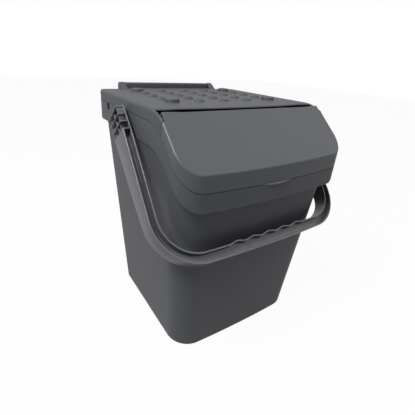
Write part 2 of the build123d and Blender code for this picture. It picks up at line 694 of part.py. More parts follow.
def handle():
    """Bail handle with an H section, ladder ends and finger waves."""
    inner = HANDLE_INNER_HALF_WIDTH
    outer = HANDLE_OUTER_HALF_WIDTH
    flange = HANDLE_FLANGE
    top = 1.25 * HANDLE_EYE_RADIUS
    outer_corner = HANDLE_INNER_CORNER + (HANDLE_BAR_WIDTH + HANDLE_ARM_WIDTH) / 2
    reach = HANDLE_BAR_REACH
    ring = bail(outer, reach, HANDLE_BAR_BOW, outer_corner, top)
    ring -= bail(inner, bar_inner_reach(), HANDLE_INNER_BOW, HANDLE_INNER_CORNER, top)
    channel = bail(outer - flange, reach - flange, HANDLE_BAR_BOW, outer_corner - flange, top)
    inner_corner = HANDLE_INNER_CORNER + flange
    channel_inner = bail(inner + flange, bar_inner_reach() + flange, HANDLE_INNER_BOW, inner_corner, top)
    floor_top = arm_rim() - HANDLE_CHANNEL_DEPTH
    floor_bottom = floor_top - flange
    deep = 2 * HANDLE_EYE_RADIUS
    solid = extrude(Pos(0, 0, -deep) * ring, 2 * deep) & arm_profile()
    solid += extrude(Pos(0, 0, floor_bottom) * finger_waves(), arm_rim() - floor_bottom)
    full = Pos(0, -ladder_end() - FIN_THICKNESS / 2 - SPAN / 2, 0) * Box(2 * SPAN, SPAN, 4 * deep)
    front_channel = channel - (channel_inner - finger_waves(flange))
    solid -= extrude(Pos(0, 0, floor_top) * front_channel, deep) & full
    solid -= extrude(Pos(0, 0, floor_bottom - deep) * (channel - channel_inner), deep) & full
    for side in (-1, 1):
        solid -= ladder_gaps(side)
        solid -= cylinder_x(HANDLE_PIN_DIAMETER / 2 + PIN_CLEARANCE, side * (inner - flange),
                            side * (inner + flange + PARTING_GAP), 0, 0)
    return handle_plane().location * solid


def ladder_gaps(side):
    """Cut that leaves the ladder of fins at one arm's end."""
    inner = HANDLE_INNER_HALF_WIDTH + HANDLE_FLANGE
    width = 2 * HANDLE_ARM_WIDTH
    x = side * (inner + width / 2)
    deep = 4 * HANDLE_EYE_RADIUS
    above = 1.5 * HANDLE_EYE_RADIUS
    first = -(FIRST_FIN_T - FIN_THICKNESS / 2)
    cut = Pos(x, first + above / 2, 0) * Box(width, above, deep)
    for index in range(FIN_COUNT - 1):
        t = FIRST_FIN_T + (index + 0.5) * FIN_PITCH
        cut += Pos(x, -t, 0) * Box(width, FIN_PITCH - FIN_THICKNESS, deep)
    start = ladder_end() - FIN_THICKNESS / 2
    step = arm_rim() - HANDLE_EYE_RADIUS - WALL_START_DROP
    inside = FIN_PITCH / 3
    points = [
        (-start + inside, step),
        (-start, step),
        (-start - 1.5 * FIN_PITCH, -HANDLE_EYE_RADIUS + WALL_START_FOOT),
        (-start - 1.5 * FIN_PITCH, -deep),
        (-start + inside, -deep),
    ]
    notch = extrude(Plane.YZ.offset(x) * make_face(Polyline(*points, close=True)), width / 2, both=True)
    return cut + notch


# Pins


def handle_pin(side):
    """Headed pin from inside the collar into the handle's eye."""
    seat = side * (RIM_HALF_WIDTH - WALL)
    tip = side * (HANDLE_INNER_HALF_WIDTH + HANDLE_FLANGE - PIN_CLEARANCE)
    head_end = seat - side * HANDLE_PIN_HEAD_THICKNESS
    shaft = cylinder_x(HANDLE_PIN_DIAMETER / 2, head_end, tip, HANDLE_PIVOT_Y, HANDLE_PIVOT_Z)
    head = cylinder_x(HANDLE_PIN_HEAD_DIAMETER / 2, head_end, seat, HANDLE_PIVOT_Y, HANDLE_PIVOT_Z)
    return shaft + head


def flap_pin(side):
    """Short pin from a cheek bracket into the flap's barrel."""
    inner = side * (bracket_inner() - RUNNING_GAP - FLAP_PIN_DEPTH + PARTING_GAP)
    return cylinder_x(FLAP_PIN_DIAMETER / 2, inner, side * FLAP_PIN_END, FLAP_AXIS_Y, FLAP_AXIS_Z)


def lid_hinge_rod():
    """Plain rod through both ears and the hinge bar."""
    half = rod_half_length() - PARTING_GAP
    return cylinder_x(HINGE_ROD_DIAMETER / 2, -half, half, LID_AXIS_Y, LID_AXIS_Z)


def write_parts():
    """Write one STEP file for each piece."""
    pieces = {
        "bin_body": bin_body(),
        "lid": lid(),
        "front_flap": front_flap(),
        "handle": handle(),
        "lid_hinge_rod": lid_hinge_rod(),
        "flap_pin_left": flap_pin(-1),
        "flap_pin_right": flap_pin(1),
        "handle_pin_left": handle_pin(-1),
        "handle_pin_right": handle_pin(1),
    }
    os.makedirs("parts", exist_ok=True)
    for name, piece in pieces.items():
        export_step(piece, f"parts/{name}.step")
    print("handle rest angle", round(degrees(handle_rest_angle()), 2))
    print("flap slope", round(degrees(flap_slope()), 2))


write_parts()
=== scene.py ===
"""Looks of a stackable waste caddy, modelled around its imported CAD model.

All lengths are metres in the CAD frame: X to the right, the front looks along -Y, Z up, and the
origin lies on the floor under the middle of the base. Every surface is a grid worked out with
numpy, a skin that Solidify gives its wall and Bevel its rounded rims.
"""
import logging
import math
from dataclasses import dataclass, field, replace
from enum import Enum

import bmesh
import bpy
import numpy as np
from mathutils import Matrix, Vector


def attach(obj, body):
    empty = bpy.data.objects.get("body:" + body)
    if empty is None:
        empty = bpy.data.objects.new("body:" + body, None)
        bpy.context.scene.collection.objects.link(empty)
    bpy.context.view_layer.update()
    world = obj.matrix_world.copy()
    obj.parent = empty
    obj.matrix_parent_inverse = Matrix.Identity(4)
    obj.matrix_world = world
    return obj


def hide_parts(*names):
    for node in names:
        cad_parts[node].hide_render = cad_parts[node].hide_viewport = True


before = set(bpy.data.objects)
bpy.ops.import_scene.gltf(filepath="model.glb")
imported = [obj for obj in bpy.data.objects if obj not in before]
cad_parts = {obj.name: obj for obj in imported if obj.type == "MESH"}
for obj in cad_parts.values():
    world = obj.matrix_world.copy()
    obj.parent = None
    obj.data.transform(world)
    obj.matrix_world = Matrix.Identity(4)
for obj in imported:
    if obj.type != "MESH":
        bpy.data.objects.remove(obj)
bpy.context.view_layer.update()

log = logging.getLogger("caddy")
MM = 0.001
SIDES = (-1.0, 1.0)
# Turns, in degrees, from which an edge of a block or a skin is rounded, and any edge shaded sharp.
BLOCK_EDGE = 30.0
SKIN_EDGE = 50.0
SHADE_EDGE = 38.0


class Body(Enum):
    """Rigid bodies of the record that the pieces ride on."""

    BIN = "bin"
    LID = "lid_unit"
    FLAP = "flap"
    BAIL = "bail"


# Plain geometry


def smoothstep(value: np.ndarray) -> np.ndarray:
    """Ease from 0 to 1: three squares less two cubes of the clipped value."""
    clipped = np.clip(value, 0.0, 1.0)
    return clipped * clipped * (3.0 - 2.0 * clipped)


def arc_points(
    centre: tuple[float, float], radius: float, start: float, end: float, count: int
) -> np.ndarray:
    """Points on a circle arc.

    Args:
        centre: The circle's centre.
        radius: Its radius.
        start: First angle, in degrees.
        end: Last angle, in degrees.
        count: How many points.

    Returns:
        Array of shape (count, 2): centre plus radius times (cosine, sine).
    """
    angle = np.radians(np.linspace(start, end, count))
    return np.column_stack([centre[0] + radius * np.cos(angle), centre[1] + radius * np.sin(angle)])


def round_polyline(points: np.ndarray, radii: np.ndarray, steps: int = 6, closed: bool = False) -> np.ndarray:
    """Polyline with its corners replaced by arcs.

    Args:
        points: Corner points, (N, 2).
        radii: A radius for each corner, 0 for a sharp one.
        steps: Segments of each arc.
        closed: Whether the last corner joins the first.

    Returns:
        The rounded outline, (M, 2): each corner becomes the circle arc tangent to its two sides.
    """
    total = len(points)
    out = []
    for index in range(total):
        corner = points[index]
        if radii[index] <= 0 or (not closed and index in (0, total - 1)):
            out.append(corner[None, :])
            continue
        back = points[index - 1] - corner
        ahead = points[(index + 1) % total] - corner
        back = back / np.linalg.norm(back)
        ahead = ahead / np.linalg.norm(ahead)
        half = math.acos(float(np.clip(back @ ahead, -1.0, 1.0))) / 2
        reach = radii[index] / math.tan(half)
        middle = (back + ahead) / np.linalg.norm(back + ahead)
        centre = corner + middle * radii[index] / math.sin(half)
        first = corner + back * reach - centre
        last = corner + ahead * reach - centre
        turn = math.atan2(first[0] * last[1] - first[1] * last[0], float(first @ last))
        angle = math.atan2(first[1], first[0]) + turn * np.linspace(0, 1, steps + 1)
        out.append(centre + radii[index] * np.column_stack([np.cos(angle), np.sin(angle)]))
    return np.vstack(out)


@dataclass(frozen=True)
class Shoulder:
    """Side profile that is level at the back, bends, and slopes down at 45 degrees to the front."""

    level: float
    front_height: float
    front: float
    bend: float

    def height(self, y: np.ndarray, offset: float = 0.0) -> np.ndarray:
        """Height of the line at y: level, then a tangent arc, then the slope.

        Args:
            y: Places along the depth.
            offset: How far the line is moved towards the inside, square to itself.

        Returns:
            Heights, of the shape of y.
        """
        level = self.level - offset
        foot = self.front_height - offset * math.sqrt(2)
        bend = self.bend - offset
        corner = self.front + level - foot
        run = bend * math.sin(math.radians(45.0))
        start = corner + bend * math.tan(math.radians(22.5))
        stop = start - run
        inside = np.clip(start - y, 0.0, run)
        arc = level - bend + np.sqrt(bend * bend - inside * inside)
        slope = foot + (y - self.front)
        return np.where(y >= start, level, np.where(y <= stop, slope, arc))


@dataclass(frozen=True)
class Plan:
    """Plan outline with straight sides, a bowed front and rounded corners."""

    half_width: float
    front: float
    back: float
    bow: float
    front_corner: float
    back_corner: float

    def corner_centres(self) -> tuple[float, float, float]:
        """Places that the corner arcs turn about.

        Returns:
            The front corner's y, the back corner's y, and the height of the bow at the front corner.
        """
        dip = self.bow * (1 - self.front_corner / self.half_width) ** 2
        return self.front + dip + self.front_corner, self.back - self.back_corner, dip

    def half_path(self, counts: "PathCounts") -> np.ndarray:
        """Right half of the outline, from the middle of the front to the middle of the back.

        Args:
            counts: How many points each stretch has.

        Returns:
            Points (N, 2): the bowed front, the front corner arc, the side, the back corner arc, the back.
        """
        front_y, back_y, dip = self.corner_centres()
        x_front = self.half_width - self.front_corner
        x_back = self.half_width - self.back_corner
        lean = math.degrees(math.atan(2 * dip / max(x_front, 1e-6)))
        share = np.linspace(0, 1, counts.front + 1)
        nose = np.column_stack([x_front * share, self.front + dip * share ** 2])
        corner = arc_points((x_front, front_y), self.front_corner, -90 + lean, 0, counts.corner + 1)
        nose[:, 0] *= corner[0, 0] / x_front
        nose[:, 1] += (corner[0, 1] - nose[-1, 1]) * share ** 2
        side_y = np.interp(counts.side, [0.0, 1.0], [front_y, back_y])
        side = np.column_stack([np.full(len(side_y), self.half_width), side_y])
        turn = arc_points((x_back, back_y), self.back_corner, 0, 90, counts.turn + 1)
        rear = np.column_stack([np.linspace(x_back, 0, counts.back + 1), np.full(counts.back + 1, self.back)])
        return np.vstack([nose[:-1], corner[:-1], side[:-1], turn[:-1], rear])


@dataclass(frozen=True)
class PathCounts:
    """How a plan outline is divided, so that outlines of different sizes match point by point."""

    front: int = 24
    corner: int = 20
    side: tuple[float, ...] = tuple(np.linspace(0, 1, 41))
    turn: int = 10
    back: int = 24


def whole_path(half: np.ndarray) -> np.ndarray:
    """Closed outline from its right half, counter-clockwise seen from above, starting mid-front."""
    mirrored = half[1:-1][::-1] * np.array([-1.0, 1.0])
    return np.vstack([half, mirrored])


# Meshes


class SkinBuilder:
    """Collects grids and outlines and welds them into one mesh object."""

    def __init__(self, name: str) -> None:
        """Start an empty piece called name.

        Args:
            name: The piece's name.
        """
        self.name = name
        self.vertices: list[np.ndarray] = []
        self.faces: list[tuple[int, ...]] = []
        self.count = 0

    def grid(
        self, points: np.ndarray, wrap: bool = False, keep: np.ndarray | None = None, flip: bool = False
    ) -> None:
        """Add a grid surface.

        Args:
            points: Array (rows, columns, 3).
            wrap: Whether the last column joins the first.
            keep: Mask of the cells to keep, (rows - 1, columns or columns - 1).
            flip: Whether the faces are turned round.
        """
        rows, columns = points.shape[:2]
        index = np.arange(rows * columns).reshape(rows, columns) + self.count
        following = np.roll(index, -1, axis=1) if wrap else index[:, 1:]
        current = index if wrap else index[:, :-1]
        quads = np.stack([current[:-1], following[:-1], following[1:], current[1:]], axis=-1)
        if flip:
            quads = quads[..., ::-1]
        cells = quads.reshape(-1, 4) if keep is None else quads[keep]
        self.vertices.append(points.reshape(-1, 3))
        self.faces.extend(map(tuple, cells.tolist()))
        self.count += rows * columns

    def polygon(self, points: np.ndarray, flip: bool = False) -> None:
        """Add one flat face with the given outline.

        Args:
            points: Outline, (N, 3).
            flip: Whether the face is turned round.
        """
        index = list(range(self.count, self.count + len(points)))
        self.vertices.append(points)
        self.faces.append(tuple(index[::-1] if flip else index))
        self.count += len(points)

    def build(self, outward: bool = False, weld: float = 2e-6) -> bpy.types.Object:
        """Weld the collected surfaces.

        Args:
            outward: Whether the normals are worked out anew, for a closed piece.
            weld: Distance within which points are one.

        Returns:
            The new object, at the origin.
        """
        mesh = bpy.data.meshes.new(self.name)
        mesh.from_pydata(np.vstack(self.vertices).tolist(), [], self.faces)
        work = bmesh.new()
        work.from_mesh(mesh)
        bmesh.ops.remove_doubles(work, verts=work.verts, dist=weld)
        bmesh.ops.dissolve_degenerate(work, edges=work.edges, dist=1e-7)
        if outward:
            bmesh.ops.recalc_face_normals(work, faces=work.faces)
        work.to_mesh(mesh)
        work.free()
        piece = bpy.data.objects.new(self.name, mesh)
        bpy.context.scene.collection.objects.link(piece)
        return piece


def add_wall(piece: bpy.types.Object, thickness: float, rim_round: float) -> None:
    """Give a skin its wall, inwards, and round its rims and sharp edges.

    Args:
        piece: A skin whose faces point outwards.
        thickness: Thickness of the wall.
        rim_round: Width of the bevel on its edges.
    """
    solid = piece.modifiers.new("wall", "SOLIDIFY")
    solid.thickness = thickness
    solid.offset = -1.0
    solid.use_even_offset = True
    solid.use_rim = True
    add_bevel(piece, rim_round, SKIN_EDGE)


def add_bevel(piece: bpy.types.Object, width: float, angle: float) -> None:
    """Round a piece's sharp edges with a live bevel.

    Args:
        piece: Piece whose edges are rounded.
        width: Width of the rounding.
        angle: Turn, in degrees, from which an edge is rounded.
    """
    bevel = piece.modifiers.new("rims", "BEVEL")
    bevel.width = width
    bevel.segments = 3
    bevel.limit_method = "ANGLE"
    bevel.angle_limit = math.radians(angle)
    bevel.use_clamp_overlap = True
    bevel.harden_normals = False
    bevel.miter_outer = "MITER_ARC"


def smooth(piece: bpy.types.Object, angle: float = SHADE_EDGE) -> None:
    """Shade a piece smooth, with edges that turn more than angle kept sharp.

    Args:
        piece: Piece to shade.
        angle: Turn in degrees, past which an edge stays sharp.
    """
    mesh = piece.data
    mesh.polygons.foreach_set("use_smooth", np.ones(len(mesh.polygons), dtype=bool))
    mesh.set_sharp_from_angle(angle=math.radians(angle))


def settle(piece: bpy.types.Object) -> bpy.types.Object:
    """Apply a piece's modifiers to its mesh and shade it smooth.

    Args:
        piece: Piece with live modifiers.

    Returns:
        The same piece, with none left.
    """
    bpy.context.view_layer.update()
    graph = bpy.context.evaluated_depsgraph_get()
    mesh = bpy.data.meshes.new_from_object(piece.evaluated_get(graph))
    piece.modifiers.clear()
    piece.data = mesh
    smooth(piece)
    return piece


def merge(name: str, parts: list[bpy.types.Object]) -> bpy.types.Object:
    """Join finished pieces into one object without welding them.

    Args:
        name: Name of the new piece.
        parts: Pieces at the origin, which are removed.

    Returns:
        One piece with all their faces.
    """
    work = bmesh.new()
    for part in parts:
        work.from_mesh(part.data)
        bpy.data.objects.remove(part)
    mesh = bpy.data.meshes.new(name)
    work.to_mesh(mesh)
    work.free()
    piece = bpy.data.objects.new(name, mesh)
    bpy.context.scene.collection.objects.link(piece)
    smooth(piece)
    return piece


def revolve(
    name: str, profile: np.ndarray, centre: tuple[float, float, float], steps: int = 48
) -> bpy.types.Object:
    """Surface of revolution about a vertical axis.

    Args:
        name: The piece's name.
        profile: Radii and heights, (N, 2), from the axis outwards.
        centre: Foot of the axis.
        steps: Segments round the axis.

    Returns:
        The piece: radius times (cosine, sine) of the angle, at each height.
    """
    angle = np.linspace(0, 2 * np.pi, steps, endpoint=False)
    radius = profile[:, 0][:, None]
    grid = np.stack([
        centre[0] + radius * np.cos(angle),
        centre[1] + radius * np.sin(angle),
        np.broadcast_to(centre[2] + profile[:, 1][:, None], (len(profile), steps)),
    ], axis=-1)
    skin = SkinBuilder(name)
    skin.grid(grid, wrap=True)
    return skin.build(outward=True)


def loft(name: str, rows: np.ndarray, bevel: float = 0.0) -> bpy.types.Object:
    """Closed piece through a row of equal outlines, with a flat cap on its first and its last.

    Args:
        name: The piece's name.
        rows: Outlines, (rows, points, 3), each closed.
        bevel: Width of the rounding of its sharp edges, 0 for none.

    Returns:
        The piece, shaded smooth.
    """
    skin = SkinBuilder(name)
    skin.grid(rows, wrap=True)
    skin.polygon(rows[0])
    skin.polygon(rows[-1], flip=True)
    piece = skin.build(outward=True)
    if bevel:
        add_bevel(piece, bevel, BLOCK_EDGE)
        return settle(piece)
    smooth(piece, SKIN_EDGE)
    return piece


def carried(outline: np.ndarray, x_from: float, x_to: float) -> np.ndarray:
    """Copies of an outline at two stations of x, for a loft.

    Args:
        outline: Closed outline, (N, 2), in the two other directions.
        x_from: First station.
        x_to: Last station.

    Returns:
        Points (2, N, 3).
    """
    rows = np.empty((2, len(outline), 3))
    rows[..., 0] = np.array([x_from, x_to])[:, None]
    rows[..., 1:] = outline
    return rows


def extruded(name: str, outline: np.ndarray, x_from: float, x_to: float, bevel: float) -> bpy.types.Object:
    """Block with an outline in the YZ plane, carried along X, with its edges rounded.

    Args:
        name: The piece's name.
        outline: Closed outline, (N, 2) in y and z.
        x_from: First station.
        x_to: Last station.
        bevel: Width of the rounding.

    Returns:
        The piece, with its bevel applied.
    """
    return loft(name, carried(outline, x_from, x_to), bevel)


def stand_up(piece: bpy.types.Object, side: float, place: tuple[float, float, float]) -> None:
    """Turn a mesh made round +Z so that its axis points along side times +X, and put it in place.

    Args:
        piece: Piece made round the vertical axis.
        side: 1 for the right side, -1 for the left.
        place: Where its foot goes.
    """
    count = len(piece.data.vertices)
    points = np.empty(count * 3)
    piece.data.vertices.foreach_get("co", points)
    points = points.reshape(-1, 3)
    turned = np.column_stack([side * points[:, 2], side * points[:, 1], points[:, 0]]) + np.array(place)
    piece.data.vertices.foreach_set("co", turned.ravel())
    work = bmesh.new()
    work.from_mesh(piece.data)
    bmesh.ops.recalc_face_normals(work, faces=work.faces)
    work.to_mesh(piece.data)
    work.free()


# Finishes


def add_node(
    tree: bpy.types.NodeTree, kind: str, inputs: dict[str | int, object] | None = None, **settings: str
) -> bpy.types.Node:
    """Add a shader node.

    Args:
        tree: Node tree that takes it.
        kind: Its type, without the words that all types start with.
        inputs: Values of its own sockets, by name or number.
        settings: Its named options, which are set first.

    Returns:
        The node.
    """
    node = tree.nodes.new("ShaderNode" + kind)
    for name, value in settings.items():
        setattr(node, name, value)
    for socket, value in (inputs or {}).items():
        node.inputs[socket].default_value = value
    return node


def join(tree: bpy.types.NodeTree, *wires: tuple[bpy.types.Node, str, bpy.types.Node, str | int]) -> None:
    """Link nodes, each wire given as a node, its output, a second node and its input."""
    for source, output, target, entry in wires:
        tree.links.new(source.outputs[output], target.inputs[entry])


def new_group(name: str, inputs: tuple[str, ...], outputs: tuple[str, ...]) -> bpy.types.ShaderNodeTree:
    """Start a node group whose sockets are all plain numbers.

    Args:
        name: The group's name.
        inputs: Names of its inputs.
        outputs: Names of its outputs.

    Returns:
        The group, with no node yet.
    """
    group = bpy.data.node_groups.new(name, "ShaderNodeTree")
    for sockets, direction in ((inputs, "INPUT"), (outputs, "OUTPUT")):
        for socket in sockets:
            group.interface.new_socket(socket, in_out=direction, socket_type="NodeSocketFloat")
    return group


def grain_group() -> bpy.types.ShaderNodeTree:
    """Node group for moulded plastic grain, used by every finish.

    Returns:
        A group whose outputs are the grain's height, a slow mottle and fine specks, all from 0 to 1.
    """
    group = new_group("moulded grain", ("Grain Scale", "Mottle Scale"), ("Height", "Mottle", "Specks"))
    entry, leave = group.nodes.new("NodeGroupInput"), group.nodes.new("NodeGroupOutput")
    place = add_node(group, "TexCoord")
    fine = add_node(group, "TexNoise", {"Detail": 3.0, "Roughness": 0.65})
    pits = add_node(group, "TexVoronoi", feature="SMOOTH_F1")
    mottle = add_node(group, "TexNoise", {"Detail": 2.0})
    blend = add_node(group, "Math", {1: 0.5}, operation="MULTIPLY_ADD")
    for texture, scale in ((fine, "Grain Scale"), (pits, "Grain Scale"), (mottle, "Mottle Scale")):
        join(group, (place, "Object", texture, "Vector"), (entry, scale, texture, "Scale"))
    join(
        group,
        (pits, "Distance", blend, 0),
        (fine, "Fac", blend, 2),
        (blend, "Value", leave, "Height"),
        (mottle, "Fac", leave, "Mottle"),
        (fine, "Fac", leave, "Specks"),
    )
    return group


# Painted highlight on rib tips, standing in for light that catches their rounded edges.
@dataclass(frozen=True)
class PaintedRimHighlight:
    """Painted highlight: lighter tips of ribs that stand up to one plane, where light catches their edges.

    The plane is given by its direction, its level along that direction and the depth of the
    painted highlight band below it; the gain is how much lighter the tips are painted.
    """

    direction: tuple[float, float, float]
    level: float
    depth: float = 0.9 * MM
    gain: float = 1.45

    def group(self) -> bpy.types.ShaderNodeTree:
        """Build the node group of the painted rim highlight's mask.

        Returns:
            A group whose output is 1 at the tips and 0 below the painted highlight band.
        """
        # Painted highlight: the mask marks a band just below the rib tips.
        group = new_group("painted rim highlight", (), ("Mask",))
        place = add_node(group, "TexCoord")
        height = add_node(group, "VectorMath", {1: self.direction}, operation="DOT_PRODUCT")
        limits = {"From Min": self.level - self.depth, "From Max": self.level - 0.3 * self.depth}
        band = add_node(group, "MapRange", limits, interpolation_type="SMOOTHSTEP")
        leave = group.nodes.new("NodeGroupOutput")
        join(
            group,
            (place, "Object", height, 0),
            (height, "Value", band, "Value"),
            (band, "Result", leave, "Mask"),
        )
        return group


@dataclass(frozen=True)
class MouldedFinish:
    """Satin moulded plastic: a plain colour with a slight mottle, and a fine spark-eroded grain."""

    name: str
    colour: tuple[float, float, float]
    roughness: float = 0.5
    roughness_spread: float = 0.08
    mottle: float = 0.07
    grain_scale: float = 1500.0
    mottle_scale: float = 14.0
    grain_strength: float = 0.16
    grain_height: float = 0.2 * MM
    specular: float = 0.5
    # Painted highlight on the rib tips, if any.
    rim: PaintedRimHighlight | None = None

    def shade(self, share: float) -> tuple[float, ...]:
        """The colour times share, opaque."""
        return (*[channel * share for channel in self.colour], 1.0)

    def material(self, grain: bpy.types.ShaderNodeTree) -> bpy.types.Material:
        """Build the material.

        Args:
            grain: The shared grain group.

        Returns:
            The material, with its Principled shader fed by the grain.
        """
        material = bpy.data.materials.new(self.name)
        material.use_nodes = True
        tree = material.node_tree
        shader = tree.nodes["Principled BSDF"]
        shader.inputs["Specular IOR Level"].default_value = self.specular
        source = tree.nodes.new("ShaderNodeGroup")
        source.node_tree = grain
        source.inputs["Grain Scale"].default_value = self.grain_scale
        source.inputs["Mottle Scale"].default_value = self.mottle_scale
        shades = {"A": self.shade(1 - self.mottle), "B": self.shade(1 + self.mottle)}
        tint = add_node(tree, "Mix", shades, data_type="RGBA")
        least, most = self.roughness - self.roughness_spread, self.roughness + self.roughness_spread
        rough = add_node(tree, "MapRange", {"To Min": least, "To Max": most})
        bump = add_node(tree, "Bump", {"Strength": self.grain_strength, "Distance": self.grain_height})
        join(
            tree,
            (source, "Mottle", tint, "Factor"),
            (source, "Specks", rough, "Value"),
            (rough, "Result", shader, "Roughness"),
            (source, "Height", bump, "Height"),
            (bump, "Normal", shader, "Normal"),
        )
        # Painted highlight: the colour is lightened by the gain along the rib tips, where light catches the
        # edges.
        if self.rim:
            mask = tree.nodes.new("ShaderNodeGroup")
            mask.node_tree = self.rim.group()
            painted_highlight = add_node(tree, "Mix", {"B": self.shade(self.rim.gain)}, data_type="RGBA")
            join(tree, (mask, "Mask", painted_highlight, "Factor"), (tint, "Result", painted_highlight, "A"))
            tint = painted_highlight
        join(tree, (tint, "Result", shader, "Base Color"))
        return material


class Paint:
    """The caddy's materials, one for each slot of the record."""

    def __init__(self) -> None:
        """Build the shared grain and every finish."""
        grain = grain_group()
        anthracite = (0.073, 0.076, 0.085)
        finishes = {
            "body_plastic": MouldedFinish("anthracite tub", anthracite, specular=0.3),
            "lid_plastic": MouldedFinish("anthracite lid", anthracite, roughness=0.48, specular=0.22),
            "flap_plastic": MouldedFinish(
                "anthracite flap", (0.076, 0.080, 0.089), roughness=0.42, specular=0.4),
            # The handle's finish carries a painted highlight on its rib tips.
            "handle_plastic": MouldedFinish(
                "anthracite handle", (0.078, 0.081, 0.090), roughness=0.3, roughness_spread=0.05,
                specular=0.6, rim=Bail().rim()),
            "pin_plastic": MouldedFinish("anthracite pins", (0.05, 0.052, 0.056), roughness=0.5),
        }
        self.materials = {slot: finish.material(grain) for slot, finish in finishes.items()}

    def dress(self, piece: bpy.types.Object, slot: str, body: Body) -> None:
        """Give a new piece its material, its slot and the body it rides on.

        Args:
            piece: The new piece.
            slot: The record's material slot.
            body: The body it rides on.
        """
        piece.data.materials.clear()
        piece.data.materials.append(self.materials[slot])
        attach(piece, body.value)

    def dress_node(self, node: str, slot: str) -> None:
        """Give a CAD node a material in its own slots.

        Args:
            node: Name of the CAD node.
            slot: The record's material slot.
        """
        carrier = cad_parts[node]
        for material_slot in carrier.material_slots:
            material_slot.material = self.materials[slot]


# The caddy's shared shape


@dataclass(frozen=True)
class Form:
    """Driving sizes of the caddy, in metres, shared by its sub-assemblies.

    The two axes and the handle's pivot are pairs of y and z.
    """

    wall: float = 2.6 * MM
    parting_gap: float = 0.7 * MM
    draft: float = math.tan(math.radians(3.6))
    base: Plan = Plan(136 * MM, -125 * MM, 125 * MM, 4 * MM, 41 * MM, 18 * MM)
    rim: Plan = Plan(160 * MM, -156 * MM, 172 * MM, 4 * MM, 32 * MM, 12 * MM)
    parting: Shoulder = Shoulder(388 * MM, 311 * MM, -156 * MM, 80 * MM)
    ledge: Shoulder = Shoulder(354 * MM, 282 * MM, -156 * MM, 90 * MM)
    lid_top: float = 407 * MM
    lid_axis: tuple[float, float] = (191 * MM, 409 * MM)
    flap_axis: tuple[float, float] = (-83.5 * MM, 396.8 * MM)
    handle_pivot: tuple[float, float] = (32 * MM, 374 * MM)

    def tub_plan(self, height: float) -> Plan:
        """Plan of the tub's outer wall at one height: the base grown by height times the draft.

        Args:
            height: Height over the floor.

        Returns:
            The plan there.
        """
        base, grow = self.base, height * self.draft
        return replace(
            base, half_width=base.half_width + grow, front=base.front - grow, back=base.back + grow)


FORM = Form()


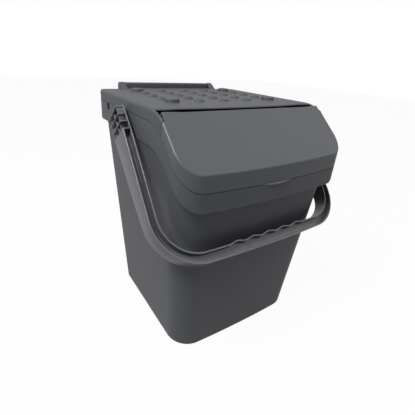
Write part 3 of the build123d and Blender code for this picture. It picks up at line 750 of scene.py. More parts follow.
@dataclass
class Tub:
    """Tub and collar, with the hinge ears, the handle bosses and the stacking sockets."""

    form: Form = FORM
    slot_y: float = 119 * MM
    slot_width: float = 11 * MM
    slot_depth: float = 12 * MM
    slot_margin: float = 0.008
    base_round: float = 3 * MM
    base_steps: int = 6
    rim_round: float = 0.7 * MM
    collar_foot: float = 0.07
    collar_lines: int = 9
    ledge_shares: tuple[float, ...] = (0.5, 0.86)
    wall_lines: int = 26
    ear_inner: float = 101.5 * MM
    ear_outer: float = 112.5 * MM
    ear_radius: float = 9 * MM
    ear_front: float = 167 * MM
    ear_root: float = 364 * MM
    ear_edge: float = 0.9 * MM
    boss_radius: float = 11 * MM
    boss_fillet: float = 1.4 * MM
    boss_edge: float = 0.6 * MM
    boss_sink: float = 0.4 * MM
    boss_face: float = 164.8 * MM
    socket_radius: float = 13.5 * MM
    socket_depth: float = 7 * MM
    sockets: tuple[tuple[float, float], ...] = ((101.6 * MM, -53 * MM), (101.6 * MM, 83 * MM))

    def counts(self) -> PathCounts:
        """Divisions of the side, with lines on both edges of the bag slot.

        Returns:
            Divisions for the rim's outline and for every outline of the tub.
        """
        front_y, back_y, _ = self.form.rim.corner_centres()
        edges = np.array([self.slot_y - self.slot_width / 2, self.slot_y + self.slot_width / 2])
        marks = (edges - front_y) / (back_y - front_y)
        even = np.linspace(0, 1, 49)
        even = even[(even < marks[0] - self.slot_margin) | (even > marks[1] + self.slot_margin)]
        return PathCounts(side=tuple(np.sort(np.concatenate([even, marks]))))

    def tub_points(
        self, heights: np.ndarray, counts: PathCounts, inset: np.ndarray | float = 0.0
    ) -> np.ndarray:
        """Points of the tub's wall at a height for each point of the path.

        The outline is linear in height, so each point is the base outline's plus height times the
        difference of two outlines, and an inset moves it towards the middle along its corner normal.

        Args:
            heights: A height for each point, (..., N).
            counts: How the outline is divided.
            inset: How far each point moves inwards.

        Returns:
            Points (..., N, 2) in plan.
        """
        low = whole_path(self.form.tub_plan(0.0).half_path(counts))
        high = whole_path(self.form.tub_plan(1.0).half_path(counts))
        share = heights[..., None]
        return low + (high - low) * share - (high - low) / self.form.draft * np.asarray(inset)[..., None]

    def shell(self) -> bpy.types.Object:
        """Skin of the collar, its underside, the tub's wall and the base, with a wall and rims.

        Returns:
            The finished shell, before the sockets are cut.
        """
        form, counts = self.form, self.counts()
        rim = whole_path(form.rim.half_path(counts))
        slot_row = 1 - self.slot_depth / (form.parting.level - form.ledge.level)
        even = np.linspace(self.collar_foot, 1, self.collar_lines)
        shares = np.sort(np.concatenate([even, [slot_row]]))[::-1]
        collar = self.collar_rows(rim, shares)
        contact = self.contact_line(len(rim), counts)
        ledge = self.ledge_rows(collar[-1], rim, contact)
        rows = np.concatenate([collar, ledge, self.wall_rows(contact[:, 2], counts)])
        skin = SkinBuilder("tub_shell")
        keep = self.slot_mask(rim, len(rows) - 1, shares, slot_row)
        skin.grid(rows, wrap=True, keep=keep, flip=True)
        self.add_base(skin, rows[-1])
        piece = skin.build()
        add_wall(piece, form.wall, self.rim_round)
        return settle(piece)

    def collar_rows(self, rim: np.ndarray, shares: np.ndarray) -> np.ndarray:
        """Rows of the collar's face: the ledge's height plus a share of the way to the parting line.

        Args:
            rim: The collar's outline, (N, 2).
            shares: A share for each row, from the top down.

        Returns:
            Rows (len(shares), N, 3).
        """
        top = self.form.parting.height(rim[:, 1])
        bottom = self.form.ledge.height(rim[:, 1])
        heights = bottom + (top - bottom) * shares[:, None]
        return np.dstack([np.broadcast_to(rim, (*heights.shape, 2)), heights])

    def contact_line(self, count: int, counts: PathCounts) -> np.ndarray:
        """Line where the collar's underside meets the tub's wall.

        The underside's height at the wall is put back into the wall's place until both agree.

        Args:
            count: How many points the outline has.
            counts: How it is divided.

        Returns:
            Points (count, 3).
        """
        height = np.full(count, self.form.ledge.level)
        for _ in range(40):
            height = self.form.ledge.height(self.tub_points(height, counts)[:, 1])
        return np.column_stack([self.tub_points(height, counts), height])

    def ledge_rows(self, above: np.ndarray, rim: np.ndarray, contact: np.ndarray) -> np.ndarray:
        """Rows of the collar's underside, from its rounded outer edge to the tub's wall.

        Args:
            above: The collar's lowest row, (N, 3).
            rim: The collar's outline, (N, 2).
            contact: Line where the underside meets the wall, (N, 3).

        Returns:
            Rows (M, N, 3).
        """
        edge = np.column_stack([rim, self.form.ledge.height(rim[:, 1])])
        rows = edge + (contact - edge) * np.array(self.ledge_shares)[:, None, None]
        rows[..., 2] = self.form.ledge.height(rows[..., 1])
        return np.concatenate([self.corner_rows(above, edge, contact, 4), rows, contact[None]])

    def wall_rows(self, top: np.ndarray, counts: PathCounts) -> np.ndarray:
        """Rows of the wall below the collar, and of the quarter circle that leads to the base.

        Args:
            top: Height of the collar's contact line at each point, (N,).
            counts: How the outline is divided.

        Returns:
            Rows (M, N, 3), from the top down.
        """
        wall_z = top + (self.base_round - top) * np.linspace(0, 1, self.wall_lines)[1:, None]
        angle = np.radians(np.linspace(0, 90, self.base_steps + 1)[1:, None])
        foot_z = np.broadcast_to(self.base_round * (1 - np.sin(angle)), (self.base_steps, len(top)))
        inset = np.broadcast_to(self.base_round * (1 - np.cos(angle)), foot_z.shape)
        wall = np.dstack([self.tub_points(wall_z, counts), wall_z])
        return np.concatenate([wall, np.dstack([self.tub_points(foot_z, counts, inset), foot_z])])

    def slot_mask(self, rim: np.ndarray, rows: int, shares: np.ndarray, slot_row: float) -> np.ndarray:
        """Cells to keep: all but those of the two bag slots at the collar's top.

        Args:
            rim: The collar's outline, (N, 2).
            rows: How many rows of cells the shell has.
            shares: Shares of the collar's height, from the top down.
            slot_row: Share of the slots' foot.

        Returns:
            Mask (rows, N).
        """
        keep = np.ones((rows, len(rim)), dtype=bool)
        centre_y = (rim[:, 1] + np.roll(rim[:, 1], -1)) / 2
        on_slot = np.abs(centre_y - self.slot_y) < self.slot_width / 2
        on_slot &= np.abs(rim[:, 0]) > self.form.rim.half_width - MM
        above = (shares[:-1] + shares[1:]) / 2 > slot_row
        keep[: len(above)][np.ix_(above, on_slot)] = False
        return keep

    @staticmethod
    def corner_rows(above: np.ndarray, edge: np.ndarray, beyond: np.ndarray, steps: int) -> np.ndarray:
        """Rows that round the edge between two surfaces: a parabola with the edge as its control point.

        Args:
            above: Last row of the first surface, (N, 3).
            edge: The sharp edge, (N, 3).
            beyond: A row of the second surface, (N, 3).
            steps: How many rows.

        Returns:
            Rows (steps, N, 3).
        """
        finish = edge + (beyond - edge) * 0.18
        share = np.linspace(0, 1, steps + 1)[1:, None, None]
        return (1 - share) ** 2 * above + 2 * share * (1 - share) * edge + share ** 2 * finish

    @staticmethod
    def add_base(skin: SkinBuilder, ring: np.ndarray) -> None:
        """Close the base with rings that shrink to its middle, the origin.

        Args:
            skin: Builder that takes the rings.
            ring: The wall's lowest row, (N, 3).
        """
        rings = ring * np.array([1.0, 0.8, 0.55, 0.3, 0.1])[:, None, None]
        rings[..., 2] = 0.0
        skin.grid(rings, wrap=True, flip=True)
        skin.polygon(rings[-1], flip=True)

    def ear(self, side: float) -> bpy.types.Object:
        """Hinge ear: a web on the collar's back wall with a round head about the lid's axis.

        Args:
            side: 1 for the right side, -1 for the left.

        Returns:
            The finished piece.
        """
        axis_y, axis_z = self.form.lid_axis
        radius = self.ear_radius
        wall, rim_z = self.form.wall, self.form.parting.level
        root_y = self.form.rim.back - wall / 2
        head = arc_points((axis_y, axis_z), radius, 128, 0, 16)
        web = np.array([
            [axis_y + radius, axis_z - 2 * radius],
            [root_y, self.ear_root],
            [root_y, rim_z - 2 * wall],
            [self.ear_front, rim_z - wall],
            [self.ear_front, axis_z - radius / 2],
        ])
        inner, outer = sorted((side * self.ear_inner, side * self.ear_outer))
        return extruded("ear", np.vstack([head, web]), inner, outer, self.ear_edge)

    def boss(self, side: float) -> bpy.types.Object:
        """Round boss on the collar, with a filleted foot and a broken edge.

        Args:
            side: 1 for the right side, -1 for the left.

        Returns:
            The finished piece.
        """
        start = self.form.rim.half_width - self.boss_sink
        radius, height = self.boss_radius, self.boss_face - start
        corners = np.array([[radius + self.boss_fillet, 0.0], [radius, 0.0], [radius, height], [0.0, height]])
        profile = round_polyline(corners, np.array([0.0, self.boss_fillet, self.boss_edge, 0.0]), 6)
        piece = revolve("boss", profile[::-1], (0.0, 0.0, 0.0))
        pivot_y, pivot_z = self.form.handle_pivot
        stand_up(piece, side, (side * start, pivot_y, pivot_z))
        return piece

    def build(self, paint: Paint) -> None:
        """Build the tub's pieces and dress them.

        Args:
            paint: The caddy's materials.
        """
        shell = self.shell()
        self.cut_sockets(shell)
        parts = [shell]
        for side in SIDES:
            parts += [self.ear(side), self.boss(side)]
        parts += [self.cup(side * x, y) for x, y in self.sockets for side in SIDES]
        piece = merge("tub_and_collar", parts)
        paint.dress(piece, "body_plastic", Body.BIN)
        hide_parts("bin_body")
        log.info("tub and collar: %d faces", len(piece.data.polygons))

    def cup(self, x: float, y: float) -> bpy.types.Object:
        """Stacking socket: a closed cup raised inside the floor, open below.

        Args:
            x: The socket's place across.
            y: The socket's place along the depth.

        Returns:
            The finished piece.
        """
        radius = self.socket_radius
        wall = self.form.wall
        outline = np.array([
            [0.0, self.socket_depth],
            [radius, self.socket_depth],
            [radius, 0.0],
            [radius + wall, 0.0],
            [radius + wall, self.socket_depth + wall],
            [0.0, self.socket_depth + wall],
        ])
        radii = np.array([0, 1.0 * MM, 0.6 * MM, 0, 1.4 * MM, 0])
        return revolve("cup", round_polyline(outline, radii, 4), (x, y, 0.0))

    def cut_sockets(self, shell: bpy.types.Object) -> None:
        """Cut the round mouths of the sockets out of the base.

        Args:
            shell: The finished shell.
        """
        radius, reach = self.socket_radius + 0.5 * MM, 5 * MM
        profile = np.array([[0, -reach], [radius, -reach], [radius, reach], [0, reach]])
        for x, y in self.sockets:
            for side in SIDES:
                cutter = revolve("cutter", profile, (side * x, y, 0.0))
                cut = shell.modifiers.new("socket", "BOOLEAN")
                cut.operation = "DIFFERENCE"
                cut.solver = "EXACT"
                cut.object = cutter
                settle(shell)
                bpy.data.objects.remove(cutter)


@dataclass
class StudField:
    """Corner studs and low domes on the lid, on one grid."""

    pitch: tuple[float, float] = (50.8 * MM, 34 * MM)
    middle_y: float = 57.5 * MM
    count: int = 5
    stud_radius: float = 12 * MM
    stud_height: float = 5.8 * MM
    stud_edge: float = 2.6 * MM
    stud_fillet: float = 0.9 * MM
    dome_radius: float = 8.8 * MM
    dome_height: float = 4.3 * MM
    dome_power: float = 0.55
    sink: float = 0.02 * MM

    def places(self) -> list[tuple[float, float, bool]]:
        """Grid places as x, y and whether a stud stands there.

        Returns:
            One entry for each place, column by column.
        """
        last = self.count - 1
        return [
            ((column - last / 2) * self.pitch[0], self.middle_y + (row - last / 2) * self.pitch[1],
             column in (0, last) and row in (0, last))
            for column in range(self.count) for row in range(self.count)
        ]

    def dome_profile(self) -> np.ndarray:
        """Low dome: the height falls as a power of one less the square of the radius share.

        Returns:
            Radii and heights, (15, 2), from the axis outwards.
        """
        share = np.sin(np.linspace(0, np.pi / 2, 15))
        height = self.dome_height * (1 - share ** 2) ** self.dome_power
        return np.column_stack([share * self.dome_radius, height - self.sink])

    def stud_profile(self) -> np.ndarray:
        """Stud: a flat top, a rounded edge, a drafted wall and a small fillet at the foot.

        Returns:
            Radii and heights, (N, 2), from the axis outwards.
        """
        radius = self.stud_radius
        outline = np.array([
            [0.0, self.stud_height],
            [radius - 0.5 * MM, self.stud_height - 0.2 * MM],
            [radius, 0.0],
            [radius + 1.2 * MM, -self.sink],
        ])
        return round_polyline(outline, np.array([0, self.stud_edge, self.stud_fillet, 0]), 7)

    def pieces(self, top: float) -> list[bpy.types.Object]:
        """All studs and domes, standing on the lid's top.

        Args:
            top: Height of the lid's top.

        Returns:
            The pieces, not yet joined.
        """
        parts = []
        for x, y, is_stud in self.places():
            profile = self.stud_profile() if is_stud else self.dome_profile()
            parts.append(revolve("stud", profile, (x, y, top), 40))
        return parts


@dataclass(frozen=True)
class Stations:
    """Places round the lid: y along its sides, a unit arc for its back corner, and x across its back."""

    side_y: np.ndarray
    turn: np.ndarray
    back_x: np.ndarray


@dataclass
class Lid:
    """Lid: top plate with a bowed lip, crease and skirt, cheeks, stud field and hinge bar."""

    form: Form = FORM
    studs: StudField = field(default_factory=StudField)
    lip_front: float = -75 * MM
    lip_bow: float = 11 * MM
    lip_round: float = 2.0 * MM
    cheek_front: float = -90 * MM
    cheek_inner: float = 157 * MM
    cheek_drop: float = 10.5 * MM
    cheek_run: float = 38 * MM
    crease: float = 4 * MM
    blend_run: float = 30 * MM
    plate_inset: float = 6.5 * MM
    blend_start: float = -40 * MM
    bow_end: float = -36 * MM
    rim_round: float = 0.8 * MM
    notch: tuple[float, float] = (99.9 * MM, 114.1 * MM)
    notch_front: float = 165.4 * MM
    bar_half_length: float = 98.5 * MM
    bar_half_depth: float = 7.5 * MM
    bar_half_height: float = 8 * MM
    bar_round: float = 2.5 * MM
    bar_edge: float = 0.6 * MM
    web_edge: float = 0.3 * MM
    web_front: float = 162 * MM
    bracket_radius: float = 6.5 * MM
    knuckle_radius: float = 6 * MM
    knuckle_length: float = 2.5 * MM

    def top_line(self, y: np.ndarray) -> np.ndarray:
        """Height of the crease: level, then a circle arc down to the cheeks' front.

        Args:
            y: Places along the depth.

        Returns:
            Heights, of the shape of y.
        """
        radius = (self.cheek_run ** 2 + self.cheek_drop ** 2) / (2 * self.cheek_drop)
        inside = np.clip(self.cheek_front + self.cheek_run - y, 0.0, radius)
        return self.form.lid_top - radius + np.sqrt(radius ** 2 - inside ** 2)

    def plate_height(self, x: np.ndarray, y: np.ndarray) -> np.ndarray:
        """Height of the plate: level in the middle, blending into the crease line at its sides.

        Args:
            x: Places across.
            y: Places along the depth.

        Returns:
            Heights, of their common shape.
        """
        line = self.top_line(y)
        level = smoothstep((self.form.rim.half_width - self.plate_inset - np.abs(x)) / self.blend_run)
        return line + (self.form.lid_top - line) * level

    def lip_line(self, x: np.ndarray) -> np.ndarray:
        """Front edge of the plate: a parabola that falls back towards the creases, and level on them."""
        reach = np.minimum(np.abs(x), self.form.rim.half_width - self.plate_inset)
        return self.lip_front + self.lip_bow * (reach / self.cheek_inner) ** 2

    def skin(self) -> bpy.types.Object:
        """Outer skin of the lid, with its wall and rims.

        Returns:
            The finished piece.
        """
        form = self.form
        nose_y = float(self.lip_line(np.array(form.rim.half_width))) + self.lip_round
        stations = self.stations(nose_y)
        insets, drops = self.crease_steps()
        crease_rows = np.array([self.ring(stations, inset, drop) for inset, drop in zip(insets, drops)])
        skirt_top = crease_rows[0]
        skirt_low = skirt_top.copy()
        skirt_low[:, 2] = form.parting.height(skirt_top[:, 1], -form.parting_gap)
        shares = np.linspace(0, 1, 6)[:-1, None, None]
        skirt = skirt_low + (skirt_top - skirt_low) * shares
        grid = np.concatenate([skirt, crease_rows])
        keep = np.ones((len(grid) - 1, grid.shape[1] - 1), dtype=bool)
        middle = (grid[:-1, :-1] + grid[1:, 1:]) / 2
        keep &= ~self.in_notch(middle[..., 0], middle[..., 1])
        keep &= ~((np.abs(middle[..., 0]) < self.cheek_inner) & (middle[..., 1] < nose_y))
        builder = SkinBuilder("lid_skin")
        builder.grid(grid, keep=keep)
        self.add_plate(builder, stations)
        self.add_nose(builder, stations, insets[-3:], drops[-3:])
        piece = builder.build()
        add_wall(piece, form.wall, self.rim_round)
        return settle(piece)

    def stations(self, nose_y: float) -> Stations:
        """Stations round the lid, with lines where the lip's nose ends and the plate's bow does.

        Args:
            nose_y: Where the side's line passes the lip's rounding.

        Returns:
            The stations.
        """
        side_y = np.concatenate([
            np.linspace(self.cheek_front, nose_y, 10),
            np.linspace(nose_y, self.blend_start, 17)[1:],
            np.linspace(self.bow_end, self.form.rim.back - self.form.rim.back_corner, 40),
        ])
        return Stations(side_y, arc_points((0.0, 0.0), 1.0, 0, 90, 11), self.back_stations())

    def crease_steps(self) -> tuple[np.ndarray, np.ndarray]:
        """Rows of the crease: a quarter circle as far as the cheek's inner face, then its crown.

        Returns:
            The rows' insets, crease radius times one less cosine, and their drops below the
            crease line, crease radius times one less sine, with the plate's edge as the last row.
        """
        brink = math.acos(1 - (self.form.rim.half_width - self.cheek_inner) / self.crease)
        angle = np.concatenate([np.linspace(0, brink, 8), [math.pi / 2]])
        insets = np.concatenate([self.crease * (1 - np.cos(angle)), [self.plate_inset]])
        drops = np.concatenate([self.crease * (1 - np.sin(angle)), [0.0]])
        return insets, drops

    def back_stations(self) -> np.ndarray:
        """Stations across the back edge, with lines on both sides of each ear notch.

        Returns:
            Values of x, from right to left.
        """
        plan = self.form.rim
        edge = plan.half_width - plan.back_corner
        marks = self.notch
        half = np.concatenate([
            np.linspace(edge, marks[1], 8),
            np.linspace(marks[1], marks[0], 4)[1:],
            np.linspace(marks[0], 0, 15)[1:],
        ])
        return np.concatenate([half, -half[::-1][1:]])

    def in_notch(self, x: np.ndarray, y: np.ndarray) -> np.ndarray:
        """Whether a place is inside one of the two ear notches at the back."""
        return (np.abs(x) > self.notch[0]) & (np.abs(x) < self.notch[1]) & (y > self.notch_front)

    def turn_centre(self) -> np.ndarray:
        """Centre of the right back corner, in plan."""
        plan = self.form.rim
        return np.array([plan.half_width, plan.back]) - plan.back_corner

    def ring(self, stations: Stations, inset: float, drop: float) -> np.ndarray:
        """Open path round the lid at one inset: right side, right corner, back, left corner, left side.

        Args:
            stations: Places round the lid.
            inset: How far the path lies inside the outline.
            drop: How far it lies below the crease line.

        Returns:
            Points (N, 3), from the front right to the front left.
        """
        plan = self.form.rim
        side_y, back_x = stations.side_y, stations.back_x
        right = np.column_stack([np.full(len(side_y), plan.half_width - inset), side_y])
        corner = stations.turn * (plan.back_corner - inset) + self.turn_centre()
        back = np.column_stack([back_x, np.full(len(back_x), plan.back - inset)])
        left = np.vstack([corner[::-1], right[::-1][1:]]) * np.array([-1.0, 1.0])
        path = np.vstack([right[:-1], corner[:-1], back, left[1:]])
        height = self.top_line(path[:, 1]) - drop
        return np.column_stack([path, height])

    def add_plate(self, builder: SkinBuilder, stations: Stations) -> None:
        """Fill the plate between the inner crease lines, row by row from the lip to the back.

        Args:
            builder: Builder that takes the grid.
            stations: Places round the lid.
        """
        plan = self.form.rim
        half = plan.half_width - self.plate_inset
        corner = stations.turn * (plan.back_corner - self.plate_inset) + self.turn_centre()
        lip_end = float(self.lip_line(np.array(half))) + self.lip_round
        rows = stations.side_y[stations.side_y > lip_end + 0.01 * MM]
        edge_x = np.concatenate([[half], np.full(len(rows), half), corner[1:, 0]])
        edge_y = np.concatenate([[lip_end], rows, corner[1:, 1]])
        share = stations.back_x / stations.back_x[0]
        x = edge_x[:, None] * share[None, :]
        y = np.broadcast_to(edge_y[:, None], x.shape).copy()
        weight = np.clip((self.bow_end - edge_y) / (self.bow_end - lip_end), 0, 1)[:, None]
        y += (self.lip_line(x) + self.lip_round - lip_end) * weight
        builder.grid(np.dstack([x, y, self.plate_height(x, y)]), flip=True)

    def add_nose(
        self, builder: SkinBuilder, stations: Stations, insets: np.ndarray, drops: np.ndarray
    ) -> None:
        """Round the lip over, from the plate down to a vertical front.

        Each column starts on the plate's or the crease's front edge and follows a quarter circle:
        forward by radius times sine, down by radius times one less cosine.

        Args:
            builder: Builder that takes the grid.
            stations: Places round the lid.
            insets: Insets of the innermost crease rows.
            drops: Their drops below the crease line.
        """
        half = self.form.rim.half_width
        plate_x = stations.back_x / stations.back_x[0] * (half - self.plate_inset)
        outer_x = half - insets[:-1]
        x = np.concatenate([outer_x, plate_x, -outer_x[::-1]])
        y = self.lip_line(x) + self.lip_round
        drop = np.zeros(len(x))
        drop[:len(outer_x)] = drops[:-1]
        drop[-len(outer_x):] = drops[:-1][::-1]
        z = np.where(np.abs(x) > half - self.plate_inset, self.top_line(y), self.plate_height(x, y)) - drop
        angle = np.radians(np.linspace(0, 90, 8))[:, None]
        rows = np.empty((len(angle), len(x), 3))
        rows[..., 0] = x
        rows[..., 1] = y - self.lip_round * np.sin(angle)
        rows[..., 2] = z - self.lip_round * (1 - np.cos(angle))
        builder.grid(rows)

    def bar(self) -> list[bpy.types.Object]:
        """Hinge bar behind the lid, with its web.

        Returns:
            The bar, its web and the two knuckles.
        """
        axis_y, axis_z = self.form.lid_axis
        depth, height = self.bar_half_depth, self.bar_half_height
        corners = np.array([[-depth, -height], [depth, -height], [depth, height], [-depth, height]])
        section = round_polyline(corners, np.full(4, self.bar_round), 5, closed=True)
        half = self.bar_half_length
        bar = extruded("hinge_bar", section + np.array([axis_y, axis_z]), -half, half, self.bar_edge)
        top = self.form.lid_top - 0.05 * MM
        low = top - self.form.wall
        web = np.array([[self.web_front, low], [axis_y, low], [axis_y, top], [self.web_front, top]])
        knuckle = arc_points((axis_y, axis_z), self.knuckle_radius, 0, 350, 36)
        tip = half + self.knuckle_length
        ends = [
            extruded("knuckle", knuckle, side * (half - MM), side * tip, self.web_edge) for side in SIDES
        ]
        return [bar, extruded("bar_web", web, -half, half, self.web_edge), *ends]

    def bracket(self, side: float) -> bpy.types.Object:
        """Saddle on the inside of a cheek that carries one flap pin from below.

        Args:
            side: 1 for the right side, -1 for the left.

        Returns:
            The finished piece.
        """
        axis_y, axis_z = self.form.flap_axis
        outline = arc_points((axis_y, axis_z + 0.3 * MM), self.bracket_radius, 180, 360, 24)
        inner = self.cheek_inner - 0.8 * MM
        outer = self.cheek_inner + 0.6 * MM
        return extruded("bracket", outline, side * inner, side * outer, 0.2 * MM)

    def build(self, paint: Paint) -> None:
        """Build the lid's pieces and dress them.

        Args:
            paint: The caddy's materials.
        """
        parts = [self.skin(), *self.studs.pieces(self.form.lid_top), *self.bar()]
        parts += [self.bracket(side) for side in SIDES]
        piece = merge("studded_lid", parts)
        paint.dress(piece, "lid_plastic", Body.LID)
        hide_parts("lid")
        log.info("lid: %d faces", len(piece.data.polygons))


@dataclass
class Flap:
    """Front flap: sloping face, crease, skirt, rolled top edge with its apron, and pull tab."""

    form: Form = FORM
    bevel_height: float = 337 * MM
    barrel_radius: float = 4 * MM
    half_width: float = 154.6 * MM
    barrel_half: float = 153.6 * MM
    barrel_sink: float = 0.15 * MM
    barrel_edge: float = 0.4 * MM
    brow: float = 7.2 * MM
    brow_ends: float = 8.4 * MM
    brow_fold: float = 0.9 * MM
    brow_fall: float = math.radians(50)
    side_back: float = -90.8 * MM
    crease: float = 4 * MM
    apron_reach: float = 9.5 * MM
    tab_half_width: float = 33 * MM
    tab_reach: float = 3.6 * MM
    tab_drop: float = 3.2 * MM
    tab_height: float = 0.8 * MM
    side_run: float = 14 * MM
    front_cells: int = 25
    rim_round: float = 0.8 * MM

    def slope(self) -> float:
        """Angle of the face: tangent to the barrel and down to the bevel line at the front.

        Returns:
            The angle below level, in radians.
        """
        axis_y, axis_z = self.form.flap_axis
        run = axis_y - self.form.rim.front
        drop = axis_z - self.bevel_height
        return math.atan2(drop, run) + math.atan2(self.barrel_radius, math.hypot(run, drop))

    def face_height(self, y: np.ndarray) -> np.ndarray:
        """Height of the face plane at y.

        Args:
            y: Places along the depth.

        Returns:
            Heights, of the shape of y.
        """
        slope = self.slope()
        axis_y, axis_z = self.form.flap_axis
        foot_y = axis_y - self.barrel_radius * math.sin(slope)
        foot_z = axis_z + self.barrel_radius * math.cos(slope)
        return foot_z + (y - foot_y) * math.tan(slope)

    def outline(self) -> tuple[np.ndarray, np.ndarray]:
        """Rim plan from the right side's back edge round the front to the left side's back edge.

        Returns:
            Points (N, 2) and the outward normals (N, 2).
        """
        plan = self.form.rim
        front_y, _, _ = plan.corner_centres()
        inner = np.linspace(0, self.half_width / (plan.half_width - self.crease), self.front_cells)
        counts = PathCounts(front=24, corner=22, side=tuple(np.linspace(0, 1, 3)))
        half = plan.half_path(counts)
        nose = half[: counts.front + 1]
        shares = np.concatenate([inner, [1.0]])
        base = np.linspace(0, 1, counts.front + 1)
        nose = np.column_stack([np.interp(shares, base, nose[:, 0]), np.interp(shares, base, nose[:, 1])])
        corner = half[counts.front: counts.front + counts.corner + 1]
        side_y = np.linspace(front_y, self.side_back, 16)
        side = np.column_stack([np.full(len(side_y), plan.half_width), side_y])
        right = np.vstack([nose[:-1], corner[:-1], side])
        left = right[1:] * np.array([-1.0, 1.0])
        path = np.vstack([right[::-1], left])
        tangent = np.gradient(path, axis=0)
        tangent[0], tangent[-1] = (0.0, -1.0), (0.0, 1.0)
        normal = np.column_stack([-tangent[:, 1], tangent[:, 0]])
        normal /= np.linalg.norm(normal, axis=1, keepdims=True)
        return path, normal

    def skin(self) -> bpy.types.Object:
        """Outer skin of the flap, with its wall and rims.

        Returns:
            The finished piece.
        """
        rounding = self.crease_rows(*self.outline())
        low = rounding[0].copy()
        low[:, 2] = self.form.parting.height(low[:, 1], -self.form.parting_gap)
        fall = np.linspace(0, 1, 8)[:-1, None, None]
        skirt = low + (rounding[0] - low) * fall
        builder = SkinBuilder("flap_skin")
        builder.grid(np.concatenate([skirt, rounding]), flip=True)
        self.add_face(builder, rounding[-1])
        piece = builder.build()
        add_wall(piece, self.form.wall, self.rim_round)
        return settle(piece)

    def crease_rows(self, path: np.ndarray, normal: np.ndarray) -> np.ndarray:
        """Rows of the crease, a circle arc tangent to the skirt and to the sloping face.

        Each point turns from the skirt's normal to the face's by equal angles. Along the sides the
        rows slide down the face, so that they stay square to the depth.

        Args:
            path: Outline of the rim, (N, 2).
            normal: Its outward normals, (N, 2).

        Returns:
            Rows (9, N, 3), from the skirt to the face.
        """
        slope = self.slope()
        edge = np.column_stack([path, self.face_height(path[:, 1])])
        wall = np.column_stack([normal, np.zeros(len(path))])
        face = np.array([0.0, -math.sin(slope), math.cos(slope)])
        cosine = wall @ face
        centre = edge - self.crease * (wall + face) / (1 + cosine)[:, None]
        angle = np.arccos(cosine)
        share = np.linspace(0, 1, 9)[:, None]
        weight_wall = np.sin((1 - share) * angle) / np.sin(angle)
        weight_face = np.sin(share * angle) / np.sin(angle)
        rows = centre + self.crease * (weight_wall[..., None] * wall + weight_face[..., None] * face)
        front_y, _, _ = self.form.rim.corner_centres()
        on_side = smoothstep((path[:, 1] - front_y) / self.side_run)
        along = np.array([0.0, math.cos(slope), math.sin(slope)])
        slide = (path[:, 1] - rows[..., 1]) / math.cos(slope) * on_side
        return rows + slide[..., None] * along

    def add_face(self, builder: SkinBuilder, rim: np.ndarray) -> None:
        """Fill the face between the crease, roll its top edge over the barrel and add the apron.

        Each row joins a point of the right crease to its mirror image; the rows take up the bow of
        the front by degrees. Above the side skirts the face is narrower, and its top rows follow a
        circle about the flap's axis and then run level.

        Args:
            builder: Builder that takes the grids.
            rim: Inner edge of the crease, (N, 3), from right to left.
        """
        middle = len(rim) // 2
        right = rim[: middle - self.front_cells + 1]
        front = rim[middle - self.front_cells: middle + self.front_cells + 1]
        span = front[0, 0]
        shares_front = front[:, 0] / span
        limit = self.half_width / right[0, 0]
        inner = np.linspace(0, limit, self.front_cells)
        exact = np.concatenate([[1.0], inner[::-1], -inner[1:], [-1.0]])
        weight = smoothstep((right[0, 1] - right[:, 1]) / (right[0, 1] - right[-1, 1]))[:, None]
        shares = exact[None, :] * (1 - weight) + shares_front[None, :] * weight
        x = right[:, 0][:, None] * shares
        bow = front[:, 1] - front[0, 1]
        y = right[:, 1][:, None] + bow[None, :] * weight
        grid = np.dstack([x, y, self.face_height(y)])
        grid[-1] = front
        builder.grid(grid)
        builder.grid(self.top_edge(right[0, 1], grid[0, 1:-1, 0]), flip=True)

    def top_edge(self, start: float, x: np.ndarray) -> np.ndarray:
        """Rows that carry the face up to its brow, fold over it and run back as the apron.

        The face's line ends at the brow's radius from the flap's axis, a small arc turns it down,
        and it falls to the top of the barrel and stays level.

        Args:
            start: Where the face leaves off.
            x: Stations across the flap.

        Returns:
            Points (rows, len(x), 3).
        """
        slope = self.slope()
        axis_y, axis_z = self.form.flap_axis
        ends = smoothstep((np.abs(x) - 0.75 * self.half_width) / (0.23 * self.half_width))
        radius = self.brow + (self.brow_ends - self.brow) * ends
        beyond = np.sqrt(radius ** 2 - self.barrel_radius ** 2)
        brow_y = axis_y - self.barrel_radius * math.sin(slope) + beyond * math.cos(slope)
        rise = start + (brow_y - start) * np.linspace(0, 1, 5)[:, None]
        turn = np.linspace(slope, -self.brow_fall, 6)[1:, None]
        centre_y = brow_y + self.brow_fold * math.sin(slope)
        centre_z = self.face_height(brow_y) - self.brow_fold * math.cos(slope)
        fold_y = centre_y - self.brow_fold * np.sin(turn)
        fold_z = centre_z + self.brow_fold * np.cos(turn)
        level = axis_z + self.barrel_radius
        foot_y = fold_y[-1] + (fold_z[-1] - level) / math.tan(self.brow_fall)
        back_y = foot_y + (axis_y + self.apron_reach - foot_y) * np.linspace(0, 1, 3)[:, None]
        y = np.concatenate([rise, fold_y, back_y])
        z = np.concatenate([self.face_height(rise), fold_z, np.full(back_y.shape, level)])
        return np.dstack([np.broadcast_to(x, y.shape), y, z])

    def barrel(self) -> bpy.types.Object:
        """Hinge barrel under the rolled edge, sunk a little into it.

        Returns:
            The finished piece.
        """
        axis_y, axis_z = self.form.flap_axis
        section = arc_points((axis_y, axis_z), self.barrel_radius - self.barrel_sink, 0, 345, 24)
        return extruded("barrel", section, -self.barrel_half, self.barrel_half, self.barrel_edge)

